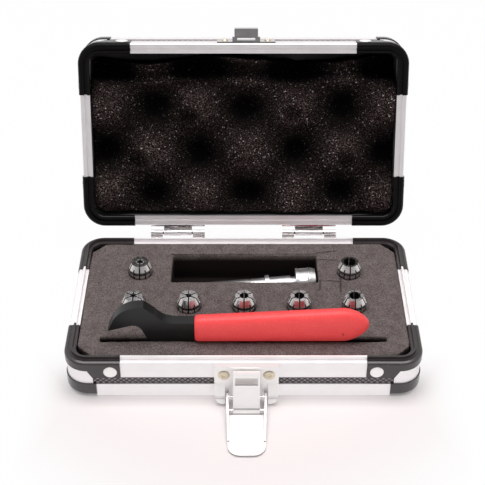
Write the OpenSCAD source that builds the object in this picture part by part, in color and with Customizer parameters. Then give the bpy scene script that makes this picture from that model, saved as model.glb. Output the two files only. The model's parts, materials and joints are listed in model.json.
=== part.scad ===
// Aluminium flight case with a spring collet set, a collet chuck and a hook spanner.
// Millimetres. The case stands on z = 0, centred on the origin. X runs along the
// front, Y runs from the front to the hinges. The lid stands open.

/* [Case] */
// Width of the case over its corners
case_w = 240; // [200:1:300]
// Depth of the case from front to rear over its corners
case_d = 138; // [125:1:180]
// Height of the base up to the seam
base_h = 30; // [28:1:60]
// Height of the lid above the seam
lid_h = 34; // [32:1:60]
// Outer radius of the rounded corners, seen from above
corner_r = 16; // [12:0.5:20]
// How far the lid is opened, in degrees
lid_open = 110; // [90:1:112]

/* [Walls] */
// Thickness of the boards
board_t = 3; // [2:0.1:4]
// Thickness of the aluminium sections
skin_t = 1.2; // [0.8:0.1:1.6]
// How far the plastic corners stand proud of the aluminium
corner_proud = 0.8; // [0.4:0.1:1.2]
// Thickness of the lining
lining_t = 0.6; // [0.4:0.1:1]
// Width of the rim sections, seen from above
rim_w = 8; // [7.5:0.1:10]
// Thickness of the rim sections
rim_t = 2.6; // [2.2:0.1:4]
// Height of the rim skirt on the outside
rim_skirt_h = 12.5; // [10:0.5:16]
// Height of the lip that holds the boards from the inside
rim_lip_h = 5; // [3:0.5:8]
// Height of the edge bars along the boards
edge_h = 10.4; // [8:0.1:12]
// Width of the sealing tongue on the base rim
tongue_w = 1.4; // [1:0.1:2]
// Height of the sealing tongue over the seam
tongue_over = 2; // [1.2:0.1:2.2]
// Clearance round the tongue in its groove
tongue_gap = 0.4; // [0.2:0.05:0.6]

/* [Corners] */
// Length of the rim corners along each side
rim_arm = 38.3; // [30:0.1:45]
// Depth of the rim corners on the outside
corner_skirt_h = 7.2; // [5:0.1:9]
// Height of the riveted tabs of the rim corners
tab_h = 13.4; // [12:0.1:16]
// Length of the foot corners along each side
foot_arm = 21.5; // [18:0.1:30]
// Height of the foot corners
foot_h = 11; // [9:0.1:14]
// Diameter of the corner rivet heads
corner_rivet_d = 9; // [6:0.5:9]

/* [Insert] */
// Gap between the flat foam and the rim
foam_gap = 0.3; // [0.2:0.1:1]
// Depth of the foam surface below the seam
foam_drop = 0.5; // [0.3:0.1:3]
// Corner cut of the flat foam
foam_cut = 10; // [6:0.5:14]
// Length of the chuck pocket
pocket_l = 105.5; // [100:0.5:120]
// Width of the chuck pocket from front to rear
pocket_w = 31; // [28:0.5:34]
// Foam left under the chuck pocket
pocket_floor_t = 4; // [2:0.5:6]
// Distance of the pocket's centre right of the middle
pocket_x = 0.8; // [-6:0.1:6]
// Distance of the pocket's centre behind the middle
pocket_y = 31.5; // [30:0.5:34]
// Length of the spanner slot
slot_l = 194; // [190:1:200]
// Depth of the spanner slot
slot_depth = 10; // [9:0.5:16]
// Distance of the spanner slot in front of the middle
slot_y = 44.4; // [43:0.1:46]
// Clearance of the tools in the foam
foam_clear = 0.3; // [0.2:0.05:0.5]

/* [Egg crate foam] */
// Distance between a peak and the next valley along X
crate_pitch_x = 35; // [28:1:40]
// Distance between a peak and the next valley along Y
crate_pitch_y = 33; // [28:1:40]
// Depth from the peaks to the valleys
crate_depth = 18; // [8:0.5:20]
// Distance of the peaks from the seam
crate_drop = 2; // [1.5:0.1:6]
// Gap between the egg crate foam and the lining
crate_gap = 1.4; // [0.5:0.1:3]

/* [Collets] */
// Largest diameter of a collet
collet_d = 17; // [17:0.1:17.4]
// Length of a collet
collet_l = 27.5; // [26:0.1:27.7]
// Height that a collet stands out of the foam
collet_out = 9.8; // [9:0.1:12]
// Width of the collet slots
collet_slot_w = 0.6; // [0.5:0.05:0.7]
// Length of the clamping bore
collet_bore_l = 12; // [10:0.5:14]
// Distance of the outer collets of the front row from the ends of the case
collet_row_end = 43.2; // [40:0.1:50]
// Distance of the front row of collets in front of the middle
collet_row_y = 10.7; // [8:0.1:11]
// Distance of the front row's centre right of the middle
collet_row_x = 0.4; // [-2:0.1:2]
// Distance of the rear collets behind the middle
collet_rear_y = 27; // [22:0.1:29]
// Distance of the rear collets from the ends of the case
collet_rear_end = 44.6; // [40:0.1:50]
// Distance of the rear collets' centre right of the middle
collet_rear_x = 1; // [-2:0.1:2]

/* [Chuck] */
// Diameter of the chuck nut
nut_d = 22; // [21:0.5:24]
// Length of the chuck nut
nut_l = 14; // [13:0.5:18]
// Diameter of the chuck shank
shank_d = 12; // [10:0.5:14]
// Distance from the middle of the nut to the end of the shank
shank_reach = 88; // [80:1:90]
// Distance of the nut's middle from the right end of the pocket
nut_inset = 8.2; // [8.2:0.1:12]
// Diameter of the chuck's collar
collar_d = 15.5; // [14.5:0.1:16]
// Width of the chuck's collar
collar_w = 3; // [2:0.5:5]

/* [Spanner] */
// Thickness of the spanner head
head_t = 8; // [6:0.5:9]
// Thickness of the blade in the slot and in the grip
blade_t = 4.6; // [4:0.1:5]
// Outer radius of the hook
hook_r = 20.8; // [19:0.1:21]
// Height of the spanner over the foam
spanner_over = 29.3; // [28:0.1:29.5]
// Length of the spanner from the hook's tip to the end of the grip
spanner_l = 175; // [170:1:178]
// Length of the grip
grip_l = 116.7; // [112:0.1:118]
// Thickness of the grip
grip_t = 12; // [9:0.5:13]
// Height of the grip before its end
grip_h = 25.4; // [23:0.1:26]
// Length of the grip's pointed end
grip_nose_l = 17; // [12:0.5:20]

/* [Hinges] */
// Width of a hinge
hinge_w = 40.5; // [36:0.5:44]
// Distance of the hinge centres from the middle
hinge_x = 49.5; // [46:0.5:56]
// Distance of the hinge axis behind the case
hinge_out = 4.9; // [4.5:0.1:6]
// Outer diameter of the hinge knuckles
knuckle_d = 4.4; // [4:0.1:5]
// Diameter of the hinge pins
hinge_pin_d = 2.2; // [1.8:0.1:2.4]
// Running clearance of the pins, on the radius
pin_clear = 0.05; // [0.03:0.01:0.08]
// Gap between the hinge knuckles
knuckle_gap = 0.8; // [0.3:0.05:1]
// Height of the hinge leaves below the seam
leaf_h = 16; // [14:0.5:16]

/* [Latch] */
// Width of the latch plate
latch_w = 42.7; // [40:0.1:46]
// Height of the latch plate
latch_h = 27.8; // [27:0.1:28]
// Depth of the pressed latch plate
latch_depth = 3.8; // [3:0.1:4]
// Distance of the latch right of the middle
latch_x = 2; // [0:0.1:4]
// Width of the lever at its pin
lever_w = 27; // [26:0.1:29]
// Width of the lever at its tip
lever_tip_w = 24.4; // [22:0.1:27]
// Length of the lever from its pin
lever_l = 47.5; // [46:0.5:52]
// Width of the claw
claw_w = 17.7; // [16:0.1:18]
// Length of the claw from its pin
claw_l = 27; // [26.8:0.1:28]
// Distance between the lever's pin and the claw's pin
claw_throw = 9.2; // [9:0.1:9.6]
// Width of the strike plate
strike_w = 42; // [38:0.5:46]
// Width of the strike's hook
strike_hook_w = 17; // [14:0.5:18]
// Width of the strike's foot
strike_foot_w = 20; // [18:0.5:24]
// Diameter of the latch rivet heads
latch_rivet_d = 8; // [5:0.5:8]

/* [Hidden] */
$fn = 64;
HULL_FN = 28;

ALUMINIUM = [0.86, 0.86, 0.86];
BLACK_PLASTIC = [0.09, 0.09, 0.1];
BOARD_BLACK = [0.13, 0.12, 0.13];
LINING_BLACK = [0.05, 0.05, 0.05];
FLAT_FOAM = [0.4, 0.37, 0.36];
CRATE_FOAM = [0.1, 0.09, 0.1];
NICKEL = [0.82, 0.81, 0.79];
BRASS = [0.78, 0.7, 0.56];
STEEL = [0.7, 0.69, 0.68];
SPANNER_BLACK = [0.15, 0.15, 0.16];
GRIP_RED = [0.82, 0.2, 0.2];

// Distances n are measured inwards from the outside of the plastic corners.
EPS = 0.01;
skin_n = corner_proud;
board_n = skin_n + skin_t;
inside_n = board_n + board_t;
tongue_n = (board_n + rim_w) / 2;
groove_w = tongue_w + 2 * tongue_gap;
groove_depth = tongue_over + tongue_gap - corner_proud;
tongue_h = tongue_over + corner_proud;
bar_half_x = case_w / 2 - rim_arm;
bar_half_y = case_d / 2 - rim_arm;
arc_x = case_w / 2 - corner_r;
arc_y = case_d / 2 - corner_r;

// ---------------------------------------------------------------- shared forms

// Plan of the case, drawn in by a distance, with its round corners.
module plan(inset) {
    r = corner_r - inset;
    w = case_w - 2 * inset;
    d = case_d - 2 * inset;
    square([w - 2 * r, d], center = true);
    square([w, d - 2 * r], center = true);
    for (sx = [-1, 1], sy = [-1, 1])
        translate([sx * (w / 2 - r), sy * (d / 2 - r)]) circle(r = r);
}

// Copies the rear right corner to the quadrant with the signs sx and sy.
module quadrant(sx, sy) {
    mirror([sx < 0 ? 1 : 0, 0, 0]) mirror([0, sy < 0 ? 1 : 0, 0]) children();
}

module all_quadrants() {
    for (sx = [-1, 1], sy = [-1, 1]) quadrant(sx, sy) children();
}

// A section [n, z] along the rear side, from x0 to x1.
module along_rear(x0, x1, section) {
    translate([x0, case_d / 2, 0]) mirror([0, 1, 0])
        rotate([90, 0, 90]) linear_extrude(x1 - x0) polygon(section);
}

// A section [n, z] along the right side, from y0 to y1.
module along_right(y0, y1, section) {
    translate([case_w / 2, y1, 0]) mirror([1, 0, 0])
        rotate([90, 0, 0]) linear_extrude(y1 - y0) polygon(section);
}

// A section [n, z] round the rear right corner, from the end of one arm to the other.
module round_corner(arm, section) {
    translate([arc_x, arc_y, 0])
        rotate_extrude(angle = 90) polygon([for (p = section) [corner_r - p[0], p[1]]]);
    if (arm > corner_r) {
        along_rear(case_w / 2 - arm, arc_x, section);
        along_right(case_d / 2 - arm, arc_y, section);
    }
}

// Puts a half that is drawn with its outside on z = 0 in the place of the open lid.
module as_lid() {
    on_lid() translate([0, 0, base_h + lid_h]) mirror([0, 0, 1]) children();
}

// Swings what is drawn in its closed place open with the lid.
module on_lid() {
    translate([0, hinge_y, base_h]) rotate([-lid_open, 0, 0])
        translate([0, -hinge_y, -base_h]) children();
}

// A rod along X, centred on x, at y and z.
module rod(x, y, z, length, d) {
    translate([x - length / 2, y, z]) rotate([0, 90, 0]) cylinder(h = length, d = d);
}

// A rod along Y from y0 to y1.
module rod_y(x, z, y0, y1, d) {
    translate([x, y0, z]) rotate([-90, 0, 0]) cylinder(h = y1 - y0, d = d);
}

// Points of an arc from angle a0 to a1.
function arc(c, r, a0, a1, steps) =
    [for (i = [0:steps]) c + r * [cos(a0 + (a1 - a0) * i / steps), sin(a0 + (a1 - a0) * i / steps)]];

// ---------------------------------------------------------------- rivets

rivet_shank_d = 3;
rivet_head_t = 1;
rivet_fit = 0.05;
corner_rivet_in = 6.7;
corner_rivet_down = 8;
corner_rivet_x = case_w / 2 - rim_arm + corner_rivet_in;
corner_rivet_y = case_d / 2 - rim_arm + corner_rivet_in;

// A rivet with its head's seat on z = 0 and its shank downwards.
module rivet(head_d, shank_l) {
    crown = 0.35 * head_d;
    cylinder(h = 0.4, d = head_d);
    translate([0, 0, 0.4]) cylinder(h = rivet_head_t - 0.4, d1 = head_d, d2 = head_d - 2 * crown * 0.4);
    translate([0, 0, -shank_l]) cylinder(h = shank_l, d = rivet_shank_d);
}

// Places a child, drawn outwards along +Z, on the rear and right faces at the corner rivets.
module at_corner_rivets(h) {
    all_quadrants() {
        translate([corner_rivet_x, case_d / 2, h - corner_rivet_down]) rotate([-90, 0, 0]) children();
        translate([case_w / 2, corner_rivet_y, h - corner_rivet_down]) rotate([0, 90, 0]) children();
    }
}

module corner_rivets(h) {
    at_corner_rivets(h) rivet(corner_rivet_d, inside_n);
}

// The holes for the corner rivets, through the tabs and the boards.
module corner_rivet_holes(h) {
    at_corner_rivets(h) translate([0, 0, -inside_n - 2])
        cylinder(h = inside_n + 3, d = rivet_shank_d + 2 * rivet_fit);
}

// ---------------------------------------------------------------- half of the case

// A half is drawn with its outside on z = 0 and its seam at z = h.

bar_bevel = 0.5;

// Section of an aluminium rim bar; the base has a tongue and the lid a groove.
function bar_section(h, lid) =
    let (top = h - corner_proud, under = top - rim_t, half = (lid ? groove_w : tongue_w) / 2,
         ridge = lid ? top - groove_depth : top + tongue_h)
    [
        [skin_n, h - rim_skirt_h - corner_proud], [board_n, h - rim_skirt_h - corner_proud],
        [board_n, under], [inside_n, under], [inside_n, under - rim_lip_h],
        [inside_n + skin_t, under - rim_lip_h], [inside_n + skin_t, under], [rim_w, under], [rim_w, top],
        [tongue_n + half, top], [tongue_n + half, ridge], [tongue_n - half, ridge], [tongue_n - half, top],
        [skin_n + bar_bevel, top], [skin_n, top - bar_bevel]
    ];

// Section of a plastic rim corner, with its outer edge rounded off and a shallow line.
function corner_section(h, lid) =
    let (under = h - corner_proud - rim_t, half = (lid ? groove_w : tongue_w) / 2,
         ridge = lid ? h - tongue_over - tongue_gap : h + tongue_over, line = board_n + 0.4)
    [
        [0, h - corner_skirt_h], [board_n, h - corner_skirt_h], [board_n, under], [inside_n, under],
        [inside_n, under - rim_lip_h], [inside_n + skin_t, under - rim_lip_h], [inside_n + skin_t, under],
        [rim_w, under], [rim_w, h - 0.5], [rim_w - 0.5, h],
        [tongue_n + half, h], [tongue_n + half, ridge], [tongue_n - half, ridge], [tongue_n - half, h],
        [line + 0.5, h], [line + 0.5, h - 0.5], [line, h - 0.5], [line, h],
        [1.8, h], [0.6, h - 0.6], [0, h - 1.8]
    ];

function edge_section() = [
    [skin_n, 0], [rim_w, 0], [rim_w, skin_t], [board_n, skin_t], [board_n, edge_h], [skin_n, edge_h]
];

function foot_section() = [
    [2.6, 0], [rim_w, 0], [rim_w, skin_t], [board_n, skin_t], [board_n, foot_h], [0, foot_h], [0, 2.6],
    [0.8, 0.8]
];

// The board: its edge is let down so that the sections lie flush with its face.
module half_board() {
    linear_extrude(skin_t) plan(rim_w);
    translate([0, 0, skin_t]) linear_extrude(board_t - skin_t) plan(board_n);
}

module half_walls(h) {
    top = h - corner_proud - rim_t;
    wall = [[board_n, board_t], [inside_n, board_t], [inside_n, top], [board_n, top]];
    difference() {
        union() {
            for (sy = [-1, 1]) quadrant(1, sy) along_rear(-arc_x, arc_x, wall);
            for (sx = [-1, 1]) quadrant(sx, 1) along_right(-arc_y, arc_y, wall);
        }
        corner_rivet_holes(h);
    }
}

module rim_along_x(h, lid) {
    along_rear(-bar_half_x, bar_half_x, bar_section(h, lid));
}

module rim_along_y(h, lid) {
    along_right(-bar_half_y, bar_half_y, bar_section(h, lid));
}

module half_edge_bars() {
    for (sy = [-1, 1])
        quadrant(1, sy) along_rear(-case_w / 2 + foot_arm, case_w / 2 - foot_arm, edge_section());
    for (sx = [-1, 1])
        quadrant(sx, 1) along_right(-case_d / 2 + foot_arm, case_d / 2 - foot_arm, edge_section());
}

tab_in = 3.5;

// Outline of a rivet tab along one side; u runs towards the corner.
function tab_outline(h, side_half) = [
    [side_half - rim_arm, h - tab_h], [side_half - corner_r - tab_in, h - tab_h],
    [side_half - corner_r, h - corner_skirt_h], [side_half - rim_arm, h - corner_skirt_h]
];

module tabs(h) {
    translate([0, case_d / 2, 0]) rotate([90, 0, 0])
        linear_extrude(board_n) polygon(tab_outline(h, case_w / 2));
    translate([case_w / 2 - board_n, 0, 0]) rotate([90, 0, 90])
        linear_extrude(board_n) polygon(tab_outline(h, case_d / 2));
}

module rim_corner(h, lid) {
    difference() {
        union() {
            round_corner(rim_arm, corner_section(h, lid));
            tabs(h);
        }
        corner_rivet_holes(h);
    }
}

// Rounded posts between the wall boards, seen between the plastic corners.
module half_corner_posts(h) {
    core = [[board_n, board_t], [inside_n, board_t], [inside_n, h - corner_proud - rim_t],
            [board_n, h - corner_proud - rim_t]];
    face = [[skin_n, foot_h], [board_n, foot_h], [board_n, h - corner_skirt_h],
            [skin_n, h - corner_skirt_h]];
    all_quadrants() {
        round_corner(corner_r, core);
        difference() {
            round_corner(corner_r + tab_in, face);
            tabs(h);
        }
    }
}

module half_foot_corners() {
    all_quadrants() round_corner(foot_arm, foot_section());
}

module half_lining(h) {
    n = inside_n;
    top = h - corner_proud - rim_t - rim_lip_h;
    translate([0, 0, board_t]) difference() {
        linear_extrude(top - board_t) plan(n);
        translate([0, 0, lining_t]) linear_extrude(top) plan(n + lining_t);
    }
}

// ---------------------------------------------------------------- base

module base_board() {
    color(BOARD_BLACK) half_board();
}

module base_walls() {
    color(BOARD_BLACK) half_walls(base_h);
}

module base_rim_rear() {
    color(ALUMINIUM) difference() {
        rim_along_x(base_h, false);
        hinge_rivet_holes();
    }
}

module base_rim_front() {
    color(ALUMINIUM) difference() {
        quadrant(1, -1) rim_along_x(base_h, false);
        latch_rivet_holes();
    }
}

module base_rim_right() {
    color(ALUMINIUM) rim_along_y(base_h, false);
}

module base_rim_left() {
    color(ALUMINIUM) quadrant(-1, 1) rim_along_y(base_h, false);
}

module base_edge_bars() {
    color(ALUMINIUM) half_edge_bars();
}

module base_corner_posts() {
    color(ALUMINIUM) half_corner_posts(base_h);
}

module base_corner(sx, sy) {
    color(BLACK_PLASTIC) quadrant(sx, sy) rim_corner(base_h, false);
}

module base_foot_corners() {
    color(BLACK_PLASTIC) half_foot_corners();
}

module base_corner_rivets() {
    color(NICKEL) corner_rivets(base_h);
}

module base_lining() {
    color(LINING_BLACK) half_lining(base_h);
}

// ---------------------------------------------------------------- flat foam

foam_top = base_h - foam_drop;
foam_bottom = board_t + lining_t;
foam_half_x = case_w / 2 - rim_w - foam_gap;
foam_half_y = case_d / 2 - rim_w - foam_gap;
pocket_floor = foam_bottom + pocket_floor_t;
pocket_front = pocket_y - pocket_w / 2;
pocket_right = pocket_x + pocket_l / 2;
slot_w = blade_t + 2 * foam_clear;

module base_foam() {
    color(FLAT_FOAM) difference() {
        translate([0, 0, foam_bottom]) linear_extrude(foam_top - foam_bottom) polygon([
            for (q = [[1, 1], [-1, 1], [-1, -1], [1, -1]])
                let (long = [q[0] * foam_half_x, q[1] * (foam_half_y - foam_cut)],
                     short = [q[0] * (foam_half_x - foam_cut), q[1] * foam_half_y])
                for (p = q[0] * q[1] > 0 ? [long, short] : [short, long]) p
        ]);
        translate([pocket_x - pocket_l / 2, pocket_front, pocket_floor])
            cube([pocket_l, pocket_w, base_h]);
        translate([-slot_l / 2, -slot_y - slot_w / 2, foam_top - slot_depth])
            cube([slot_l, slot_w, base_h]);
        for (place = collet_places) translate(place) collet_socket();
    }
}

// ---------------------------------------------------------------- collets

collet_land_r = collet_d / 2;
collet_face_r = collet_land_r - 2.3;
collet_cone_h = 3.9;
collet_land_h = 0.8;
collet_groove_h = 2.2;
collet_groove_in = 1.6;
collet_ring_h = 0.8;
collet_ring_in = 0.1;
collet_taper = 8;
collet_tail_z = foam_top + collet_out - collet_l;
collet_ring_z = collet_l - collet_cone_h - collet_land_h - collet_groove_h - collet_ring_h;
collet_ring_r = collet_land_r - collet_ring_in;
collet_tail_r = collet_ring_r - collet_ring_z * tan(collet_taper);
collet_slots = 6;
collet_slot_stop = 2.8;
collet_bore_wall = 1;
collet_pitch = (case_w / 2 - collet_row_end) / 2;
collet_rear_half = case_w / 2 - collet_rear_end;
collet_places = [
    [collet_rear_x - collet_rear_half, collet_rear_y, 0],
    for (i = [-2:2]) [collet_row_x + i * collet_pitch, -collet_row_y, 0],
    [collet_rear_x + collet_rear_half, collet_rear_y, 0]
];
// Bores of the collets, in the order of their places
collet_bores = [2, 3, 4, 6, 7, 8, 9];

// A spring collet with its tail on z = 0 and its face upwards.
module collet_form(bore) {
    relief_r = max(bore / 2 + 0.4, 3);
    bore_z = collet_l - collet_bore_l;
    groove_r = collet_land_r - collet_groove_in;
    groove_z = collet_ring_z + collet_ring_h;
    land_z = groove_z + collet_groove_h;
    difference() {
        rotate_extrude() polygon([
            [0, 0], [collet_tail_r, 0], [collet_ring_r, collet_ring_z], [collet_ring_r, groove_z],
            [groove_r, groove_z], [groove_r, land_z], [collet_land_r, land_z],
            [collet_land_r, land_z + collet_land_h], [collet_face_r, collet_l], [0, collet_l]
        ]);
        translate([0, 0, -1]) cylinder(h = collet_l + 2, d = bore);
        translate([0, 0, -1]) cylinder(h = bore_z + 1, r = min(relief_r, collet_tail_r - 0.8));
        for (i = [0:collet_slots - 1]) rotate([0, 0, i * 360 / collet_slots + 90]) {
            // slot from the face
            translate([0, -collet_slot_w / 2, collet_l / 4]) cube([collet_d, collet_slot_w, collet_l]);
            // slot from the tail, which goes on up the outside of the clamping bore
            rotate([0, 0, 180 / collet_slots]) translate([0, -collet_slot_w / 2, -1]) {
                cube([collet_d, collet_slot_w, bore_z]);
                translate([bore / 2 + collet_bore_wall, 0, 0])
                    cube([collet_d, collet_slot_w, collet_l - collet_slot_stop + 1]);
            }
        }
    }
}

module collet(i) {
    color(STEEL) translate(collet_places[i] + [0, 0, collet_tail_z]) collet_form(collet_bores[i]);
}

// The tapered hole in the foam, a clearance wider than the collet.
module collet_socket() {
    below = foam_clear;
    top_z = foam_top - collet_tail_z;
    top_r = collet_tail_r + top_z * tan(collet_taper) + foam_clear;
    translate([0, 0, collet_tail_z - below])
        cylinder(h = top_z + below, r1 = collet_tail_r + foam_clear, r2 = top_r);
    translate([0, 0, foam_top - EPS]) cylinder(h = 1, r = top_r);
}

// ---------------------------------------------------------------- chuck

// The chuck lies in the pocket: its nut and the end of its shank rest on the floor.
chuck_tilt = asin((nut_d - shank_d) / 2 / shank_reach);
chuck_rest = 0.3;
chuck_x = pocket_right - nut_inset;
chuck_y = pocket_front + foam_clear + nut_d / 2 + nut_l / 2 * sin(chuck_tilt);
chuck_z = pocket_floor + chuck_rest + nut_d / 2 + nut_l / 2 * sin(chuck_tilt);
nut_wall = 1.9;
nut_thread_r = nut_d / 2 - nut_wall;
nut_lip_l = 3;
nut_mouth_r = 6.5;
nose_clear = 0.06;
neck_d = shank_d - 1.4;
neck_l = 4;
collar_x = 26.5;
groove_x = 40;
groove_l = 0.8;

// Draws a chuck piece whose axis is X, with the nut's middle at its origin.
module in_pocket() {
    translate([chuck_x, chuck_y, chuck_z]) rotate([0, -chuck_tilt, chuck_tilt]) children();
}

// Turns a [radius, x] section round the chuck's axis.
module turned(section) {
    rotate([0, 90, 0]) rotate_extrude() polygon(section);
}

module chuck_body() {
    nose_r = nut_thread_r - nose_clear;
    nose_x = nut_l / 2 - nut_lip_l - 1;
    seat_depth = nut_l / 2;
    color(STEEL) in_pocket() difference() {
        turned([
            [0, -shank_reach], [shank_d / 2 - 0.8, -shank_reach], [shank_d / 2, -shank_reach + 0.8],
            [shank_d / 2, -groove_x - groove_l], [shank_d / 2 - 0.5, -groove_x - groove_l],
            [shank_d / 2 - 0.5, -groove_x], [shank_d / 2, -groove_x],
            [shank_d / 2, -collar_x - collar_w], [collar_d / 2, -collar_x - collar_w],
            [collar_d / 2, -collar_x], [shank_d / 2 + 0.2, -collar_x],
            [shank_d / 2 + 0.2, -nut_l / 2 - neck_l], [neck_d / 2, -nut_l / 2 - neck_l],
            [neck_d / 2, -nut_l / 2 + 1], [nose_r, -nut_l / 2 + 1], [nose_r, nose_x], [0, nose_x]
        ]);
        translate([nose_x - seat_depth, 0, 0]) rotate([0, 90, 0])
            cylinder(h = seat_depth + EPS, r1 = nose_r - 3, r2 = nose_r - 1.7);
    }
}

module chuck_nut() {
    half = nut_l / 2;
    r = nut_d / 2;
    flats = 6;
    key_w = 4.5;
    key_in = 1;
    color(STEEL) in_pocket() difference() {
        turned([
            [nut_thread_r, -half], [r, -half], [r, -half + 1.5], [r - 0.4, -half + 1.5],
            [r - 0.4, half - 5.6], [r, half - 5.2], [r, half - 4.6], [r - 1, half - 4.6],
            [r - 1, half - 3.8], [r, half - 3.8], [r - 1.2, half], [nut_mouth_r, half],
            [nut_mouth_r + 0.6, half - nut_lip_l + 0.6], [nut_thread_r, half - nut_lip_l + 0.6]
        ]);
        for (i = [0:flats - 1]) rotate([i * 360 / flats + 30, 0, 0])
            translate([-half + 2.4, -key_w / 2, r - key_in]) cube([nut_l - 8.6, key_w, 2 * key_in]);
    }
}

// ---------------------------------------------------------------- spanner

// The spanner stands on its edge in the slot. Its outline lies in X and Z.
spanner_left = -90.9;
hook_c = [spanner_left + hook_r + 1.6, foam_top + spanner_over - hook_r];
grip_left = spanner_left + spanner_l - grip_l;
grip_right = spanner_left + spanner_l;
neck_h = 15.7;
neck_z = foam_top + neck_h;
hook_turn = [152, 84];
throat_r = 17;
throat_c = [grip_left - 12.7, neck_z + throat_r - 0.1];
throat_turn = [213, 270];
jaw_r = 6.4;
jaw_c = [grip_left - 41.3, foam_top + 7.4];
jaw_turn = [30, 95];
jaw_low = [grip_left - 33.3, foam_top + 5];
head_low = [grip_left - 31.5, foam_top + 0.4];
hook_tip_h = 9.1;
heel_l = 30;
heel_depth = slot_depth - 2;
head_y = -slot_y - blade_t / 2 + 0.1;
head_in_grip = 3;
tang_z = foam_top + 5.5;
tang_h = 11.5;
tang_l = grip_l - 16;
tang_fit = 0.02;
grip_low = foam_top + 0.2;
grip_start_h = 19.1;
grip_edge_r = 3.5;

function head_outline() = concat(
    [[spanner_left, foam_top + hook_tip_h]],
    arc(hook_c, hook_r, hook_turn[0], hook_turn[1], 12),
    arc(throat_c, throat_r, throat_turn[0], throat_turn[1], 8),
    [[grip_left + head_in_grip, neck_z], [grip_left + head_in_grip, head_low[1]], head_low, jaw_low],
    arc(jaw_c, jaw_r, jaw_turn[0], jaw_turn[1], 5)
);

module spanner_blade() {
    color(SPANNER_BLACK) {
        translate([0, head_y, 0]) mirror([0, 1, 0]) rotate([90, 0, 0])
            linear_extrude(head_t) polygon(head_outline());
        // heel in the slot
        translate([grip_left - heel_l, -slot_y - blade_t / 2, foam_top - heel_depth])
            cube([heel_l, blade_t, heel_depth + 1]);
        // tang in the grip
        translate([grip_left, -slot_y - blade_t / 2, tang_z]) cube([tang_l, blade_t, tang_h]);
    }
}

// Centres of the grip's rounded edge in X and Z: the start, then the pointed end.
function grip_outline() =
    let (r = grip_edge_r, low = grip_low + r, top = grip_low + grip_h - r,
         start_top = grip_low + grip_start_h - r, tip_z = grip_low + grip_h * 0.53, tip_half = 1.8,
         nose_x = grip_right - grip_nose_l, shoulder_x = grip_right - grip_nose_l / 2, shoulder = 0.66)
    [
        [grip_left - r, low], [grip_left - r, start_top], [nose_x, top],
        [shoulder_x, tip_z + (top - tip_z) * shoulder], [grip_right - r, tip_z + tip_half],
        [grip_right - r, tip_z - tip_half], [shoulder_x, tip_z + (low - tip_z) * shoulder], [nose_x, low]
    ];

// The dipped grip: flat sides with rounded edges, slightly higher towards its pointed end.
module spanner_grip() {
    color(GRIP_RED) difference() {
        hull() for (p = grip_outline(), s = [-1, 1])
            translate([p[0], -slot_y + s * (grip_t / 2 - grip_edge_r), p[1]])
                sphere(r = grip_edge_r, $fn = HULL_FN);
        translate([grip_left - grip_t, -slot_y - grip_t, 0]) cube([grip_t, 2 * grip_t, 2 * base_h]);
        translate([grip_left - 1, -slot_y - blade_t / 2 - tang_fit, tang_z - tang_fit])
            cube([tang_l + 1 + tang_fit, blade_t + 2 * tang_fit, tang_h + 2 * tang_fit]);
        translate([grip_left - 1, head_y - tang_fit, grip_low - 1])
            cube([head_in_grip + 1 + tang_fit, head_t + 2 * tang_fit, neck_z - grip_low + 1 + tang_fit]);
    }
}

// ---------------------------------------------------------------- lid

module lid_board() {
    color(BOARD_BLACK) as_lid() half_board();
}

module lid_walls() {
    color(BOARD_BLACK) as_lid() half_walls(lid_h);
}

module lid_rim_rear() {
    color(ALUMINIUM) difference() {
        as_lid() rim_along_x(lid_h, true);
        on_lid() hinge_rivet_holes_lid();
    }
}

module lid_rim_front() {
    color(ALUMINIUM) difference() {
        as_lid() quadrant(1, -1) rim_along_x(lid_h, true);
        on_lid() strike_rivet_holes();
    }
}

module lid_rim_right() {
    color(ALUMINIUM) as_lid() rim_along_y(lid_h, true);
}

module lid_rim_left() {
    color(ALUMINIUM) as_lid() quadrant(-1, 1) rim_along_y(lid_h, true);
}

module lid_edge_bars() {
    color(ALUMINIUM) as_lid() half_edge_bars();
}

module lid_corner_posts() {
    color(ALUMINIUM) as_lid() half_corner_posts(lid_h);
}

module lid_corner(sx, sy) {
    color(BLACK_PLASTIC) as_lid() quadrant(sx, sy) rim_corner(lid_h, true);
}

module lid_top_corners() {
    color(BLACK_PLASTIC) as_lid() half_foot_corners();
}

module lid_corner_rivets() {
    color(NICKEL) as_lid() corner_rivets(lid_h);
}

module lid_lining() {
    color(LINING_BLACK) as_lid() half_lining(lid_h);
}

// Egg crate foam: peaks and valleys alternate like the fields of a chess board.
crate_n = inside_n + skin_t + crate_gap;
crate_half_x = case_w / 2 - crate_n;
crate_half_y = case_d / 2 - crate_n;
crate_bottom = board_t + lining_t;
crate_mid = lid_h - crate_drop - crate_depth / 2;
crate_cells = [38, 22];
crate_round = 9;
crate_shift = 3;

// Height of the foam over the lid's board at x and y.
function crate_z(x, y) =
    crate_mid + crate_depth / 2 * cos(180 * (x - crate_shift) / crate_pitch_x)
        * sin(180 * (y + crate_shift) / crate_pitch_y);

// Draws a point of the square grid in at the corners, so that the foam's plan is rounded.
function crate_xy(u, v) =
    let (x = u * crate_half_x, y = v * crate_half_y,
         ax = max(abs(x) - crate_half_x + crate_round, 0), ay = max(abs(y) - crate_half_y + crate_round, 0),
         far = max(ax, ay), pull = ax > 0 && ay > 0 ? far / norm([ax, ay]) : 1)
    [x - sign(x) * ax * (1 - pull), y - sign(y) * ay * (1 - pull)];

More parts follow.
